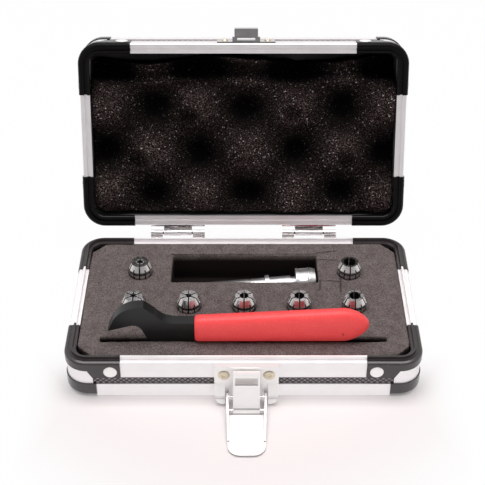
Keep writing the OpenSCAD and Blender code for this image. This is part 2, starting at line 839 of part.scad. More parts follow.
module crate_form() {
    nx = crate_cells[0];
    ny = crate_cells[1];
    top = [for (j = [0:ny], i = [0:nx])
        let (p = crate_xy(2 * i / nx - 1, 2 * j / ny - 1)) [p[0], p[1], crate_z(p[0], p[1])]];
    ring = concat(
        [for (i = [0:nx - 1]) i],
        [for (j = [0:ny - 1]) nx + j * (nx + 1)],
        [for (i = [nx:-1:1]) ny * (nx + 1) + i],
        [for (j = [ny:-1:1]) j * (nx + 1)]
    );
    count = len(ring);
    first = len(top);
    low = [for (k = ring) [top[k][0], top[k][1], crate_bottom]];
    polyhedron(
        points = concat(top, low, [[0, 0, crate_bottom]]),
        faces = concat(
            [for (j = [0:ny - 1], i = [0:nx - 1], half = [0, 1])
                let (a = j * (nx + 1) + i, b = a + 1, c = a + nx + 1, d = c + 1)
                half == 0 ? [a, c, d] : [a, d, b]],
            [for (k = [0:count - 1], half = [0, 1])
                let (m = (k + 1) % count)
                half == 0 ? [ring[k], ring[m], first + m] : [ring[k], first + m, first + k]],
            [for (k = [0:count - 1]) [first + k, first + (k + 1) % count, first + count]]
        )
    );
}

module lid_foam() {
    color(CRATE_FOAM) as_lid() crate_form();
}

// ---------------------------------------------------------------- hinges

hinge_y = case_d / 2 + hinge_out;
leaf_t = skin_t;
leaf_y = case_d / 2 - skin_n;
knuckle_share = [0, 0.23, 0.77, 1];
hinge_rivet_x = 0.3;
hinge_rivet_z = 9.5;
hinge_rivet_d = 5;

// A knuckle with the web that joins it to a leaf below the axis.
module knuckle(x0, x1) {
    r = knuckle_d / 2;
    translate([x0, hinge_y, base_h]) rotate([0, 90, 0]) cylinder(h = x1 - x0, r = r);
    translate([x0, 0, 0]) rotate([90, 0, 90]) linear_extrude(x1 - x0) polygon([
        [leaf_y, base_h - 6.5], [leaf_y + leaf_t, base_h - 6.5], [hinge_y + r * 0.8, base_h - r * 0.6],
        [hinge_y, base_h], [hinge_y - r * 0.95, base_h - r * 0.3], [leaf_y + leaf_t, base_h - 4.6],
        [leaf_y, base_h - 4.6]
    ]);
}

// A leaf under the seam, with the knuckles whose numbers are given.
module leaf(x, knuckles) {
    left = x - hinge_w / 2;
    difference() {
        union() {
            translate([left, leaf_y, base_h - leaf_h]) cube([hinge_w, leaf_t, leaf_h - corner_proud - 1]);
            for (k = knuckles)
                knuckle(left + hinge_w * knuckle_share[k] + (k > 0 ? knuckle_gap / 2 : 0),
                        left + hinge_w * knuckle_share[k + 1] - (k < 2 ? knuckle_gap / 2 : 0));
        }
        rod(x, hinge_y, base_h, hinge_w + 2, hinge_pin_d + 2 * pin_clear);
        leaf_rivets(x) translate([0, 0, -skin_t - leaf_t])
            cylinder(h = 6, d = rivet_shank_d + 2 * rivet_fit);
    }
}

// Places a child, drawn along +Z, on the outside of a leaf at its rivets.
module leaf_rivets(x) {
    for (s = [-1, 1])
        translate([x + s * hinge_rivet_x * hinge_w, leaf_y + leaf_t, base_h - hinge_rivet_z - 2])
            rotate([-90, 0, 0]) children();
}

module hinge_rivets() {
    for (s = [-1, 1]) leaf_rivets(s * hinge_x) rivet(hinge_rivet_d, leaf_t + skin_t);
}

module hinge_rivet_holes() {
    for (s = [-1, 1]) leaf_rivets(s * hinge_x) translate([0, 0, -6])
        cylinder(h = 8, d = rivet_shank_d + 2 * rivet_fit);
}

// Mirrors what is drawn under the seam to the lid's side of it.
module over_seam() {
    translate([0, 0, 2 * base_h]) mirror([0, 0, 1]) children();
}

module hinge_rivet_holes_lid() {
    over_seam() hinge_rivet_holes();
}

module hinge_base_leaf(s) {
    color(ALUMINIUM) leaf(s * hinge_x, [0, 2]);
}

module hinge_lid_leaf(s) {
    color(ALUMINIUM) on_lid() over_seam() leaf(s * hinge_x, [1]);
}

module hinge_pin(s) {
    color(STEEL) rod(s * hinge_x, hinge_y, base_h, hinge_w, hinge_pin_d);
}

module hinge_rivets_base() {
    color(NICKEL) hinge_rivets();
}

module hinge_rivets_lid() {
    color(NICKEL) on_lid() over_seam() hinge_rivets();
}

// ---------------------------------------------------------------- latch

latch_t = 1.2;
latch_seat = -case_d / 2 + skin_n;
latch_face = latch_seat - latch_depth;
latch_top = base_h - 0.4;
latch_bottom = latch_top - latch_h;
latch_corner_r = 6;
latch_rivet_x = 15;
latch_boss_d = 7;
shoulder_y = latch_face - 6.2;
shoulder_top = base_h - 15;
shoulder_gap = 0.8;
latch_rivet_z = base_h - 7.8;
lever_pin_d = 2.4;
lever_pin_y = latch_face - 4.4;
lever_pin_z = 6;
claw_pin_y = lever_pin_y - claw_throw;
claw_pin_z = 3;
lever_low = 0.5;
lever_wall_h = 5.2;
ear_reach = 2.2;
lever_root = lever_pin_y + 2.2;
lever_tip = lever_pin_y - lever_l;
lever_tip_r = 8;
claw_t = 1.2;
claw_lean = 19.5;
claw_hook = 4.4;
ear_x = lever_w / 2 - latch_t - 0.4;
ear_t = 1.2;
ear_clear = 0.25;
claw_side = 2.6;
claw_knuckle_d = 4;
claw_window_w = 15.2;
claw_window_h = 5.2;
claw_window_down = 8.6;

// Plan of a plate in X and Z with round lower corners; y0 is its outer face.
module latch_slab(y0, y1, inset) {
    r = latch_corner_r - inset;
    half = latch_w / 2 - inset;
    low = latch_bottom + inset;
    translate([latch_x, y1, 0]) rotate([90, 0, 0]) linear_extrude(y1 - y0) {
        translate([-half, low + r]) square([2 * half, latch_top - inset - low - r]);
        translate([-half + r, low]) square([2 * (half - r), r + EPS]);
        for (s = [-1, 1]) translate([s * (half - r), low + r]) circle(r = r);
    }
}

module latch_plate() {
    color(NICKEL) difference() {
        union() {
            difference() {
                latch_slab(latch_face, latch_seat, 0);
                latch_slab(latch_face + latch_t, latch_seat + 1, latch_t);
            }
            for (s = [-1, 1])
                rod_y(latch_x + s * latch_rivet_x, latch_rivet_z, latch_face + EPS, latch_seat, latch_boss_d);
            for (s = [-1, 1]) latch_ear(s);
            latch_shoulders();
        }
        rod(latch_x, lever_pin_y, lever_pin_z, latch_w, lever_pin_d + 2 * pin_clear);
        latch_rivet_holes();
    }
}

// The plate swells forwards at its foot, on both sides of the lever.
module latch_shoulders() {
    bay = lever_w / 2 + shoulder_gap;
    intersection() {
        latch_slab(shoulder_y, latch_face + latch_t / 2, 0);
        for (s = [-1, 1])
            translate([latch_x + (s > 0 ? bay : -latch_w / 2), 0, 0]) rotate([90, 0, 90])
                linear_extrude(latch_w / 2 - bay) polygon([
                    [latch_face + latch_t / 2, shoulder_top], [latch_face, shoulder_top],
                    [shoulder_y, latch_bottom + 1.5], [shoulder_y, latch_bottom],
                    [latch_face + latch_t / 2, latch_bottom]
                ]);
    }
}

// An ear of the plate that carries the lever's pin.
module latch_ear(s) {
    translate([latch_x + s * ear_x - (s > 0 ? ear_t : 0), 0, 0]) rotate([90, 0, 90])
        linear_extrude(ear_t) {
            translate([lever_pin_y, lever_pin_z]) circle(r = ear_reach);
            translate([lever_pin_y, lever_pin_z - ear_reach])
                square([latch_face + latch_t / 2 - lever_pin_y, 2 * ear_reach]);
        }
}

module latch_rivets() {
    color(BRASS) for (s = [-1, 1])
        translate([latch_x + s * latch_rivet_x, latch_face, latch_rivet_z]) rotate([90, 0, 0])
            rivet(latch_rivet_d, latch_depth + skin_t);
}

module latch_rivet_holes() {
    for (s = [-1, 1])
        rod_y(latch_x + s * latch_rivet_x, latch_rivet_z, latch_face - 1, latch_seat + skin_t + 0.5,
              rivet_shank_d + 2 * rivet_fit);
}

// Plan of the lever, drawn in by a distance; it narrows towards its round tip.
function lever_plan(inset) =
    let (half = lever_w / 2 - inset, r = lever_tip_r - inset, x = lever_tip_w / 2 - lever_tip_r,
         y = lever_tip + lever_tip_r)
    concat(
        [[half, lever_root + inset]], arc([x, y], r, 0, -90, 8), arc([-x, y], r, -90, -180, 8),
        [[-half, lever_root + inset]]
    );

// The lever lies in front of the case; its side walls carry both pins.
module latch_lever() {
    wall_end = lever_tip + 12;
    wall_end_h = 2.2;
    root_top = lever_pin_z + ear_reach;
    color(NICKEL) translate([latch_x, 0, 0]) difference() {
        union() {
            translate([0, 0, lever_low]) linear_extrude(latch_t) polygon(lever_plan(0));
            intersection() {
                translate([0, 0, lever_low]) linear_extrude(root_top - lever_low) difference() {
                    polygon(lever_plan(0));
                    polygon(lever_plan(latch_t));
                }
                translate([-lever_w, 0, 0]) rotate([90, 0, 90]) linear_extrude(2 * lever_w) polygon([
                    [lever_root, lever_low], [lever_root, root_top], [lever_pin_y - 1, root_top],
                    [claw_pin_y - 4, lever_low + lever_wall_h], [wall_end, lever_low + wall_end_h],
                    [wall_end, lever_low]
                ]);
            }
        }
        // room for the claw's knuckle and for the ears
        translate([-claw_w / 2 - claw_side, claw_pin_y - claw_side, lever_low - 1])
            cube([claw_w + 2 * claw_side, claw_throw + claw_side, latch_t + 2]);
        translate([-ear_x - ear_clear, lever_pin_y - claw_side, lever_low - 1])
            cube([2 * (ear_x + ear_clear), lever_root - lever_pin_y + claw_side + 1, latch_t + 2]);
        rod(0, lever_pin_y, lever_pin_z, lever_w + 2, lever_pin_d + 2 * pin_clear);
        rod(0, claw_pin_y, claw_pin_z, lever_w + 2, lever_pin_d + 2 * pin_clear);
    }
}

module latch_lever_pin() {
    color(STEEL) rod(latch_x, lever_pin_y, lever_pin_z, lever_w, lever_pin_d);
}

module latch_claw_pin() {
    color(STEEL) rod(latch_x, claw_pin_y, claw_pin_z, lever_w, lever_pin_d);
}

// The claw: a strap with a window, rolled round its pin and bent to a hook at its top.
module latch_claw() {
    color(NICKEL) translate([latch_x, claw_pin_y, claw_pin_z]) rotate([-claw_lean, 0, 0]) difference() {
        union() {
            rod(0, 0, 0, claw_w, claw_knuckle_d);
            translate([-claw_w / 2, -claw_t / 2, 0]) cube([claw_w, claw_t, claw_l]);
            translate([-claw_w / 2, -claw_t / 2, claw_l - claw_t]) cube([claw_w, claw_hook, claw_t]);
            translate([-claw_w / 2, -claw_t / 2 + claw_hook - claw_t, claw_l - 3.2])
                cube([claw_w, claw_t, 3.2]);
        }
        rod(0, 0, 0, claw_w + 2, lever_pin_d + 2 * pin_clear);
        translate([-claw_window_w / 2, -claw_t, claw_l - claw_window_down])
            cube([claw_window_w, 2 * claw_t, claw_window_h]);
    }
}

// ---------------------------------------------------------------- strike

strike_t = 1.2;
strike_h = 16;
strike_low = base_h + corner_proud + 0.4;
strike_shelf_z = base_h + 4;
// The strike's hook stands out so far that the claw's hook drops behind it
claw_fit = 0.4;
strike_out = latch_seat - (lever_pin_y - (lever_pin_z - claw_pin_z) + claw_t / 2 + claw_fit);
strike_lip_t = 1.2;
strike_lip_top = lever_pin_z + claw_throw + claw_l - claw_t - 0.5;
strike_foot_out = 4.4;
strike_foot_h = 2.2;
strike_flange_t = 1;
strike_slot = [13, 1.6];
strike_rivet_x = 15.5;
strike_rivet_z = strike_low + strike_h / 2;

// A block of the strike, from y0 to y1 out of the lid, centred across the latch.
module strike_block(width, y0, y1, z0, z1) {
    translate([latch_x - width / 2, latch_seat - y1, z0]) cube([width, y1 - y0, z1 - z0]);
}

module strike_plate() {
    foot_z = strike_shelf_z - strike_flange_t;
    slot_y0 = strike_t + (strike_foot_out - strike_t - strike_slot[1]) / 2;
    color(NICKEL) on_lid() difference() {
        union() {
            strike_block(strike_w, 0, strike_t, strike_low, strike_low + strike_h);
            strike_block(strike_foot_w, strike_t - EPS, strike_foot_out, foot_z, foot_z + strike_foot_h);
            strike_block(strike_hook_w, strike_foot_out - EPS, strike_out, strike_shelf_z,
                         strike_shelf_z + strike_t);
            strike_block(strike_hook_w, strike_out - strike_lip_t, strike_out, strike_shelf_z,
                         strike_lip_top);
            for (s = [-1, 1]) translate([s * (strike_hook_w - strike_flange_t) / 2, 0, 0])
                strike_block(strike_flange_t, strike_foot_out - EPS, strike_out, foot_z,
                             strike_shelf_z + EPS);
        }
        strike_block(strike_slot[0], slot_y0, slot_y0 + strike_slot[1], foot_z - 1,
                     foot_z + strike_foot_h + 1);
        strike_rivet_holes();
    }
}

module strike_rivets() {
    color(BRASS) on_lid() for (s = [-1, 1])
        translate([latch_x + s * strike_rivet_x, latch_seat - strike_t, strike_rivet_z]) rotate([90, 0, 0])
            rivet(hinge_rivet_d, strike_t + skin_t);
}

module strike_rivet_holes() {
    for (s = [-1, 1])
        rod_y(latch_x + s * strike_rivet_x, strike_rivet_z, latch_seat - strike_t - 1,
              latch_seat + skin_t + 0.5, rivet_shank_d + 2 * rivet_fit);
}

// ---------------------------------------------------------------- the set

base_board();
base_walls();
base_rim_front();
base_rim_rear();
base_rim_left();
base_rim_right();
base_edge_bars();
base_corner_posts();
base_corner(-1, -1);  // base_corner_front_left
base_corner(1, -1);  // base_corner_front_right
base_corner(-1, 1);  // base_corner_rear_left
base_corner(1, 1);  // base_corner_rear_right
base_foot_corners();
base_corner_rivets();
base_lining();
base_foam();
lid_board();
lid_walls();
lid_rim_front();
lid_rim_rear();
lid_rim_left();
lid_rim_right();
lid_edge_bars();
lid_corner_posts();
lid_corner(-1, -1);  // lid_corner_front_left
lid_corner(1, -1);  // lid_corner_front_right
lid_corner(-1, 1);  // lid_corner_rear_left
lid_corner(1, 1);  // lid_corner_rear_right
lid_top_corners();
lid_corner_rivets();
lid_lining();
lid_foam();
hinge_base_leaf(-1);  // hinge_left_base_leaf
hinge_lid_leaf(-1);  // hinge_left_lid_leaf
hinge_pin(-1);  // hinge_left_pin
hinge_base_leaf(1);  // hinge_right_base_leaf
hinge_lid_leaf(1);  // hinge_right_lid_leaf
hinge_pin(1);  // hinge_right_pin
hinge_rivets_base();
hinge_rivets_lid();
latch_plate();
latch_rivets();
latch_lever();
latch_lever_pin();
latch_claw();
latch_claw_pin();
strike_plate();
strike_rivets();
collet(0);  // collet_rear_left
collet(1);  // collet_row_1
collet(2);  // collet_row_2
collet(3);  // collet_row_3
collet(4);  // collet_row_4
collet(5);  // collet_row_5
collet(6);  // collet_rear_right
chuck_body();
chuck_nut();
spanner_blade();
spanner_grip();
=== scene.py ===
import json
import math
import bmesh
import bpy
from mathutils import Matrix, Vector, noise


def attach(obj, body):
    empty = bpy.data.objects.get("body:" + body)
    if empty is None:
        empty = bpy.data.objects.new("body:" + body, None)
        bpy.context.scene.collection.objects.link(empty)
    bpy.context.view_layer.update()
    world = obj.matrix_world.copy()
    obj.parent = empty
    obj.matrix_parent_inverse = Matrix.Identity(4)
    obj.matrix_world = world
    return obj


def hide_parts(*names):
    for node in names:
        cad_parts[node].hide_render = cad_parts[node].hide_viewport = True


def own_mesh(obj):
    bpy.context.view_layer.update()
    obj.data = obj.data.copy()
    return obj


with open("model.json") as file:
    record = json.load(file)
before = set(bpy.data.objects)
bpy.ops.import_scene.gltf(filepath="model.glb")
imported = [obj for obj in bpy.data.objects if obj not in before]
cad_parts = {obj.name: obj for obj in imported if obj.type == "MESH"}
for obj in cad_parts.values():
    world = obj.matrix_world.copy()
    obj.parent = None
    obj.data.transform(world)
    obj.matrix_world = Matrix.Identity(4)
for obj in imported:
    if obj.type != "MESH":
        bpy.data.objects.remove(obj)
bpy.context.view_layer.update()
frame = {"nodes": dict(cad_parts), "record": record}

MM = 0.001
NODES = frame["nodes"]

# Sizes of the case and of the skin's pillows, in millimetres, as the solids have them.
CASE_W, CASE_D = 240, 138
BASE_H, LID_H = 30, 34
HINGE_Y, HINGE_Z = 73.9, 30
LID_OPEN = math.radians(110)
FOAM_TOP = 29.5
FOAM_HALF = (111.7, 60.7)
WEAVE_W, WEAVE_H = 3.9, 3.2


# ------------------------------------------------------------------ places

def in_base(x, y, z):
    """A point of the base, in millimetres, where the base stands."""
    return Vector((x, y, z)) * MM


def in_lid(x, y, z):
    """A point of the lid, z over the lid's outer face, where the open lid is."""
    away, up = y - HINGE_Y, BASE_H + LID_H - z - HINGE_Z
    cos, sin = math.cos(LID_OPEN), -math.sin(LID_OPEN)
    return Vector((x, HINGE_Y + cos * away - sin * up, HINGE_Z + sin * away + cos * up)) * MM


# ------------------------------------------------------------------ shader maths

class Tone:
    """A socket in a finish, so that shader maths reads as it is written."""

    def __init__(self, finish, socket):
        self.finish, self.socket = finish, socket

    def maths(self, operation, first, second):
        return self.finish.node("ShaderNodeMath", {"operation": operation}, {0: first, 1: second})

    def __add__(self, other):
        return self.maths("ADD", self, other)

    __radd__ = __add__

    def __sub__(self, other):
        return self.maths("SUBTRACT", self, other)

    def __rsub__(self, other):
        return self.maths("SUBTRACT", other, self)

    def __mul__(self, other):
        return self.maths("MULTIPLY", self, other)

    __rmul__ = __mul__

    def above(self, edge, soft):
        """1 where the tone is over an edge, 0 below it, with a soft step between."""
        return self.finish.node("ShaderNodeMapRange", {"interpolation_type": "SMOOTHSTEP"},
                                {0: self, 1: edge - soft, 2: edge + soft, 3: 0.0, 4: 1.0})


class Finish:
    """A material with a Principled shader; plain numbers and colours go straight to its sockets."""

    def __init__(self, name, **plain):
        self.material = bpy.data.materials.new(name)
        self.material.use_nodes = True
        self.tree = self.material.node_tree
        self.shader = self.tree.nodes["Principled BSDF"]
        for socket, value in plain.items():
            self.set(socket.replace("_", " "), value)

    def set(self, socket, value):
        target = self.shader.inputs[socket]
        if isinstance(value, Tone):
            self.tree.links.new(value.socket, target)
        elif isinstance(value, tuple) and len(value) == 3:
            target.default_value = (*value, 1.0)
        else:
            target.default_value = value

    def node(self, kind, settings=None, inputs=None, output=0):
        """A node with its settings, then its sockets' values or links; gives one of its outputs."""
        made = self.tree.nodes.new(kind)
        for name, value in (settings or {}).items():
            setattr(made, name, value)
        for key, value in (inputs or {}).items():
            if isinstance(value, Tone):
                self.tree.links.new(value.socket, made.inputs[key])
            elif isinstance(value, tuple) and len(value) == 3 and made.inputs[key].type == "RGBA":
                made.inputs[key].default_value = (*value, 1.0)
            else:
                made.inputs[key].default_value = value
        return Tone(self, made.outputs[output])

    def place(self, squeeze=(1, 1, 1)):
        """Where a point is on the object, with each direction stretched by its own number."""
        at = self.node("ShaderNodeTexCoord", output=3)
        if squeeze == (1, 1, 1):
            return at
        return self.node("ShaderNodeVectorMath", {"operation": "MULTIPLY"}, {0: at, 1: squeeze})

    def grain(self, size, detail=2.0, squeeze=(1, 1, 1)):
        """Cloudy noise from 0 to 1 whose spots are about size millimetres."""
        return self.node("ShaderNodeTexNoise", None,
                         {"Vector": self.place(squeeze), "Scale": 1000 / size, "Detail": detail})

    def cells(self, size):
        """Distance inside cells of about size millimetres."""
        return self.node("ShaderNodeTexVoronoi", None, {"Vector": self.place(), "Scale": 1000 / size})

    def mark(self, name):
        """A number that the mesh itself carries."""
        return self.node("ShaderNodeAttribute", {"attribute_name": name}, output=2)

    def between(self, amount, low, high):
        """A colour between two colours."""
        return self.node("ShaderNodeMix", {"data_type": "RGBA"}, {0: amount, 6: low, 7: high}, output=2)

    def relief(self, height, depth, strength=1.0):
        """Bumps of a depth in millimetres."""
        bump = self.node("ShaderNodeBump", None,
                         {"Height": height, "Distance": depth * MM, "Strength": strength})
        self.set("Normal", bump)


# ------------------------------------------------------------------ finishes

def satin_aluminium(name, metal):
    """Anodised bars: pale and satin, fine lines along them and faint handling marks."""
    f = Finish(name, Metallic=metal)
    marks = f.grain(9, 4)
    lines = f.grain(0.5, 3, (0.04, 1, 1))
    f.set("Base Color", f.between(marks, (0.90, 0.85, 0.86), (0.98, 0.95, 0.955)))
    f.set("Roughness", 0.34 + marks * 0.12 + lines * 0.10)
    f.relief(lines, 0.03, 0.5)
    return f.material


def moulded_black(name, shine, low, high):
    """Moulded corners: black, with a soft shine."""
    f = Finish(name, Specular_IOR_Level=shine)
    cloud = f.grain(6, 3)
    fine = f.grain(0.35, 2)
    f.set("Base Color", f.between(cloud, low, high))
    f.set("Roughness", 0.17 + cloud * 0.14)
    f.relief(fine, 0.02, 0.6)
    return f.material


def black_board():
    f = Finish("black_board")
    fine = f.grain(0.6, 3)
    f.set("Base Color", f.between(fine, (0.004, 0.0035, 0.004), (0.010, 0.009, 0.010)))
    f.set("Roughness", 0.45 + fine * 0.2)
    f.relief(fine, 0.06, 0.6)
    return f.material


def chequered_skin():
    f = Finish("chequered_skin", Specular_IOR_Level=0.5)
    fine = f.grain(1.2, 3)
    f.set("Base Color", f.between(fine, (0.15, 0.125, 0.131), (0.36, 0.315, 0.322)))
    f.set("Roughness", 0.26 + fine * 0.16)
    return f.material


def chequered_board(name, across):
    """The skin on a board's face, with its pillows along X and along the direction across, and painted
    shade near black in the grooves between them.
    """
    f = Finish(name)
    u = f.node("ShaderNodeSeparateXYZ", None, {0: f.place()}) * (1000 / WEAVE_W)
    v = f.node("ShaderNodeVectorMath", {"operation": "DOT_PRODUCT"}, {0: f.place(), 1: across}, 1)
    v = v * (1000 / WEAVE_H)
    first, second = (slant.maths("PINGPONG", slant, 0.5) for slant in (u + v, u - v))
    pillow = first.maths("MINIMUM", first, second) * 2
    fine = f.grain(1.2, 3)
    skin = f.between(fine, (0.07, 0.058, 0.061), (0.17, 0.15, 0.154))
    # Painted shade: near black in the grooves between the pillows.
    f.set("Base Color", f.between(pillow.above(0.20, 0.10), (0.006, 0.005, 0.006), skin))
    f.set("Roughness", 0.28 + fine * 0.16)
    f.relief(pillow, 0.3, 0.8)
    return f.material


def flock_lining():
    f = Finish("flock_lining", Sheen_Weight=0.3)
    fuzz = f.grain(0.4, 3)
    f.set("Base Color", f.between(fuzz, (0.008, 0.007, 0.008), (0.03, 0.027, 0.028)))
    f.set("Roughness", 0.9 + fuzz * 0.1)
    f.relief(fuzz, 0.15, 0.8)
    return f.material


def grey_foam():
    """Closed-cell foam: warm grey, mottled and finely pored; painted shade darkens its cut pockets
    inside and its knife slips.
    """
    f = Finish("grey_foam", Specular_IOR_Level=0.2)
    pores = f.cells(0.7)
    cloud = f.grain(7, 5)
    fine = f.grain(0.7, 4)
    flecks = f.grain(1.3, 3)
    depth = f.mark("painted_pocket_and_slit_shade")
    tone = f.between(cloud.above(0.5, 0.22), (0.098, 0.076, 0.072), (0.150, 0.121, 0.118))
    tone = f.between(fine.above(0.56, 0.10) * 0.75, tone, (0.25, 0.21, 0.207))
    tone = f.between(flecks.above(0.57, 0.08) * 0.55, tone, (0.052, 0.039, 0.037))
    tone = f.between((1 - pores).above(0.74, 0.16) * 0.6, tone, (0.040, 0.030, 0.028))
    # Painted shade inside the cut pockets and along the knife slips.
    tone = f.between(depth, tone, (0.010, 0.0065, 0.0055))
    f.set("Base Color", tone)
    f.set("Roughness", 0.82 + fine * 0.15)
    f.relief(fine + pores * 0.8, 0.35, 0.7)
    return f.material


def open_cell_foam():
    """Open-cell foam: near black, darkened low in its valleys by painted shade, with cell walls paler
    on the peaks and painted glint specks.
    """
    f = Finish("open_cell_foam", Specular_IOR_Level=0.05)
    cells = f.cells(1.1)
    fine = f.grain(1.0, 4)
    glint_noise = f.grain(1.5, 2)
    patches = f.grain(26, 3)
    height = f.mark("painted_shade_by_height")
    # Painted shade: near black low in the valleys, paler towards the peaks.
    tone = f.between(height, (0.0003, 0.0002, 0.0002), (0.009, 0.0058, 0.0054))
    # Paler cell walls, scaled by the painted shade so that they show mostly on the peaks.
    walls = cells.above(0.46, 0.10) * fine.above(0.50, 0.08)
    tone = f.between(walls * height * (0.35 + patches), tone, (0.105, 0.076, 0.072))
    # Painted glint specks: bright points on the cell walls, stronger on the peaks.
    painted_glints = cells.above(0.60, 0.05) * glint_noise.above(0.655, 0.03)
    tone = f.between(painted_glints * (height + 0.06), tone, (0.62, 0.57, 0.57))
    f.set("Base Color", tone)
    f.set("Roughness", 0.75 + fine * 0.25)
    f.relief(cells * 1.2 + fine, 0.9, 0.9)
    return f.material


def nickel_plate():
    """Pressed and plated sheet: bright and a little milky, with painted shade darkening its cut edges.
    """
    f = Finish("nickel_plate", Metallic=0.42)
    cloud = f.grain(5, 3)
    bright = f.between(cloud, (0.92, 0.885, 0.87), (0.98, 0.96, 0.955))
    painted_edge_shade = f.mark("painted_edge_shade")
    # Painted shade on the cut edges, and inside the claw's window.
    f.set("Base Color", f.between(painted_edge_shade, bright, (0.13, 0.118, 0.118)))
    f.set("Roughness", 0.36 + cloud * 0.16)
    return f.material


def shaded_polished_nickel():
    """The strike: plated to a mirror, so that it shows the dim room in front of it; its colour is also
    darker than the latch's nickel, as painted shade.
    """
    f = Finish("shaded_polished_nickel", Metallic=1.0)
    cloud = f.grain(5, 3)
    f.set("Base Color", f.between(cloud, (0.34, 0.32, 0.32), (0.56, 0.54, 0.54)))
    f.set("Roughness", 0.10 + cloud * 0.10)
    return f.material


def bright_hinge():
    """Polished leaves that mirror the bars round them."""
    f = Finish("bright_hinge", Metallic=1.0)
    cloud = f.grain(3, 3)
    lines = f.grain(0.6, 2, (0.05, 1, 1))
    f.set("Base Color", f.between(lines.above(0.5, 0.1), (0.50, 0.47, 0.47), (0.92, 0.90, 0.90)))
    f.set("Roughness", 0.10 + cloud * 0.12)
    return f.material


def brass_plate():
    f = Finish("brass_plate", Metallic=1.0)
    cloud = f.grain(2, 3)
    f.set("Base Color", f.between(cloud, (0.62, 0.52, 0.38), (0.80, 0.72, 0.58)))
    f.set("Roughness", 0.22 + cloud * 0.16)
    return f.material


def ground_steel():
    """Turned and ground: bright with thin rings; painted shade makes it black in the slots, groove and
    bore, where the marks are set.
    """
    f = Finish("ground_steel")
    cloud = f.grain(3, 3)
    rings = f.grain(0.35, 1, (0.1, 0.1, 1))
    # Painted shade: black in the slots, groove and bore, and in a line along each slot.
    black = f.mark("painted_crevice_shade")
    painted_slot_line_shade = f.mark("painted_slot_line_shade").above(0.70, 0.14)
    black = black.maths("MAXIMUM", black, painted_slot_line_shade)
    bright = f.between(cloud, (0.62, 0.58, 0.57), (1.0, 0.97, 0.97))
    f.set("Base Color", f.between(black, bright, (0.004, 0.0034, 0.0034)))
    f.set("Metallic", 1 - black * 0.9)
    f.set("Roughness", 0.13 + cloud * 0.12 + rings * 0.06 + black * 0.4)
    f.relief(rings, 0.01, 0.4)
    return f.material


def shaded_turned_chuck():
    """Turned along X, with thin rings; its colour is kept darker than the collets' steel, as painted
    shade.
    """
    f = Finish("shaded_turned_chuck", Metallic=1.0)
    cloud = f.grain(4, 3)
    rings = f.grain(0.3, 1, (1, 0.08, 0.08))
    f.set("Base Color", f.between(cloud, (0.42, 0.40, 0.40), (0.60, 0.58, 0.58)))
    f.set("Roughness", 0.30 + cloud * 0.10 + rings * 0.10)
    f.relief(rings, 0.012, 0.4)
    return f.material


def black_satin_steel():
    f = Finish("black_satin_steel", Specular_IOR_Level=0.42)
    cloud = f.grain(7, 4)
    fine = f.grain(0.5, 3)
    f.set("Base Color", f.between(cloud, (0.0022, 0.0018, 0.0018), (0.006, 0.005, 0.005)))
    f.set("Roughness", 0.30 + cloud * 0.16)
    f.relief(fine, 0.03, 0.5)
    return f.material


def dipped_vinyl():
    """Soft red dip with a fine orange-peel skin."""
    f = Finish("dipped_vinyl", Specular_IOR_Level=0.55)
    cloud = f.grain(12, 3)
    peel = f.grain(0.9, 3)
    dark_speck = f.mark("dark_speck")
    skin = f.between(cloud, (0.82, 0.052, 0.054), (0.92, 0.076, 0.078))
    skin = f.between(peel.above(0.60, 0.08) * 0.22, skin, (0.96, 0.22, 0.22))
    f.set("Base Color", f.between(dark_speck.above(0.5, 0.2), skin, (0.10, 0.006, 0.006)))
    f.set("Roughness", 0.44 + peel * 0.16)
    f.relief(peel, 0.10, 0.5)
    return f.material


FINISHES = {
    "aluminium": satin_aluminium("satin_aluminium", 0.62), "board": black_board(),
    "black_plastic": moulded_black("moulded_black", 0.6, (0.028, 0.022, 0.023), (0.048, 0.039, 0.040)),
    "lining": flock_lining(), "grey_foam": grey_foam(), "crate_foam": open_cell_foam(),
    "nickel": nickel_plate(), "brass_rivet": brass_plate(), "steel": ground_steel(),
    "black_steel": black_satin_steel(), "red_grip": dipped_vinyl(),
}
SHADED_CHUCK = shaded_turned_chuck()
SKIN = chequered_skin()
LID_BARS = satin_aluminium("satin_aluminium_lid", 0.93)
# The lid's corners take a darker copy of the base corners' black plastic: painted shade.
SHADED_LID_CORNERS = moulded_black("moulded_black_lid", 0.14, (0.002, 0.0015, 0.0016), (0.005, 0.004, 0.0042))
SHADED_STRIKE = shaded_polished_nickel()
HINGE = bright_hinge()
BASE_BOARD = chequered_board("chequered_base_board", (0, 1, 0))
LID_DEEP = (in_lid(0, 1, 0) - in_lid(0, 0, 0)).normalized()
LID_OUT = (in_lid(0, 0, 1) - in_lid(0, 0, 0)).normalized()
LID_BOARD = chequered_board("chequered_lid_board", tuple(LID_DEEP))


def dress(piece, material):
    piece.data.materials.clear()
    piece.data.materials.append(material)


SMOOTH_BELOW, BREAK_ABOVE = math.radians(32), math.radians(40)


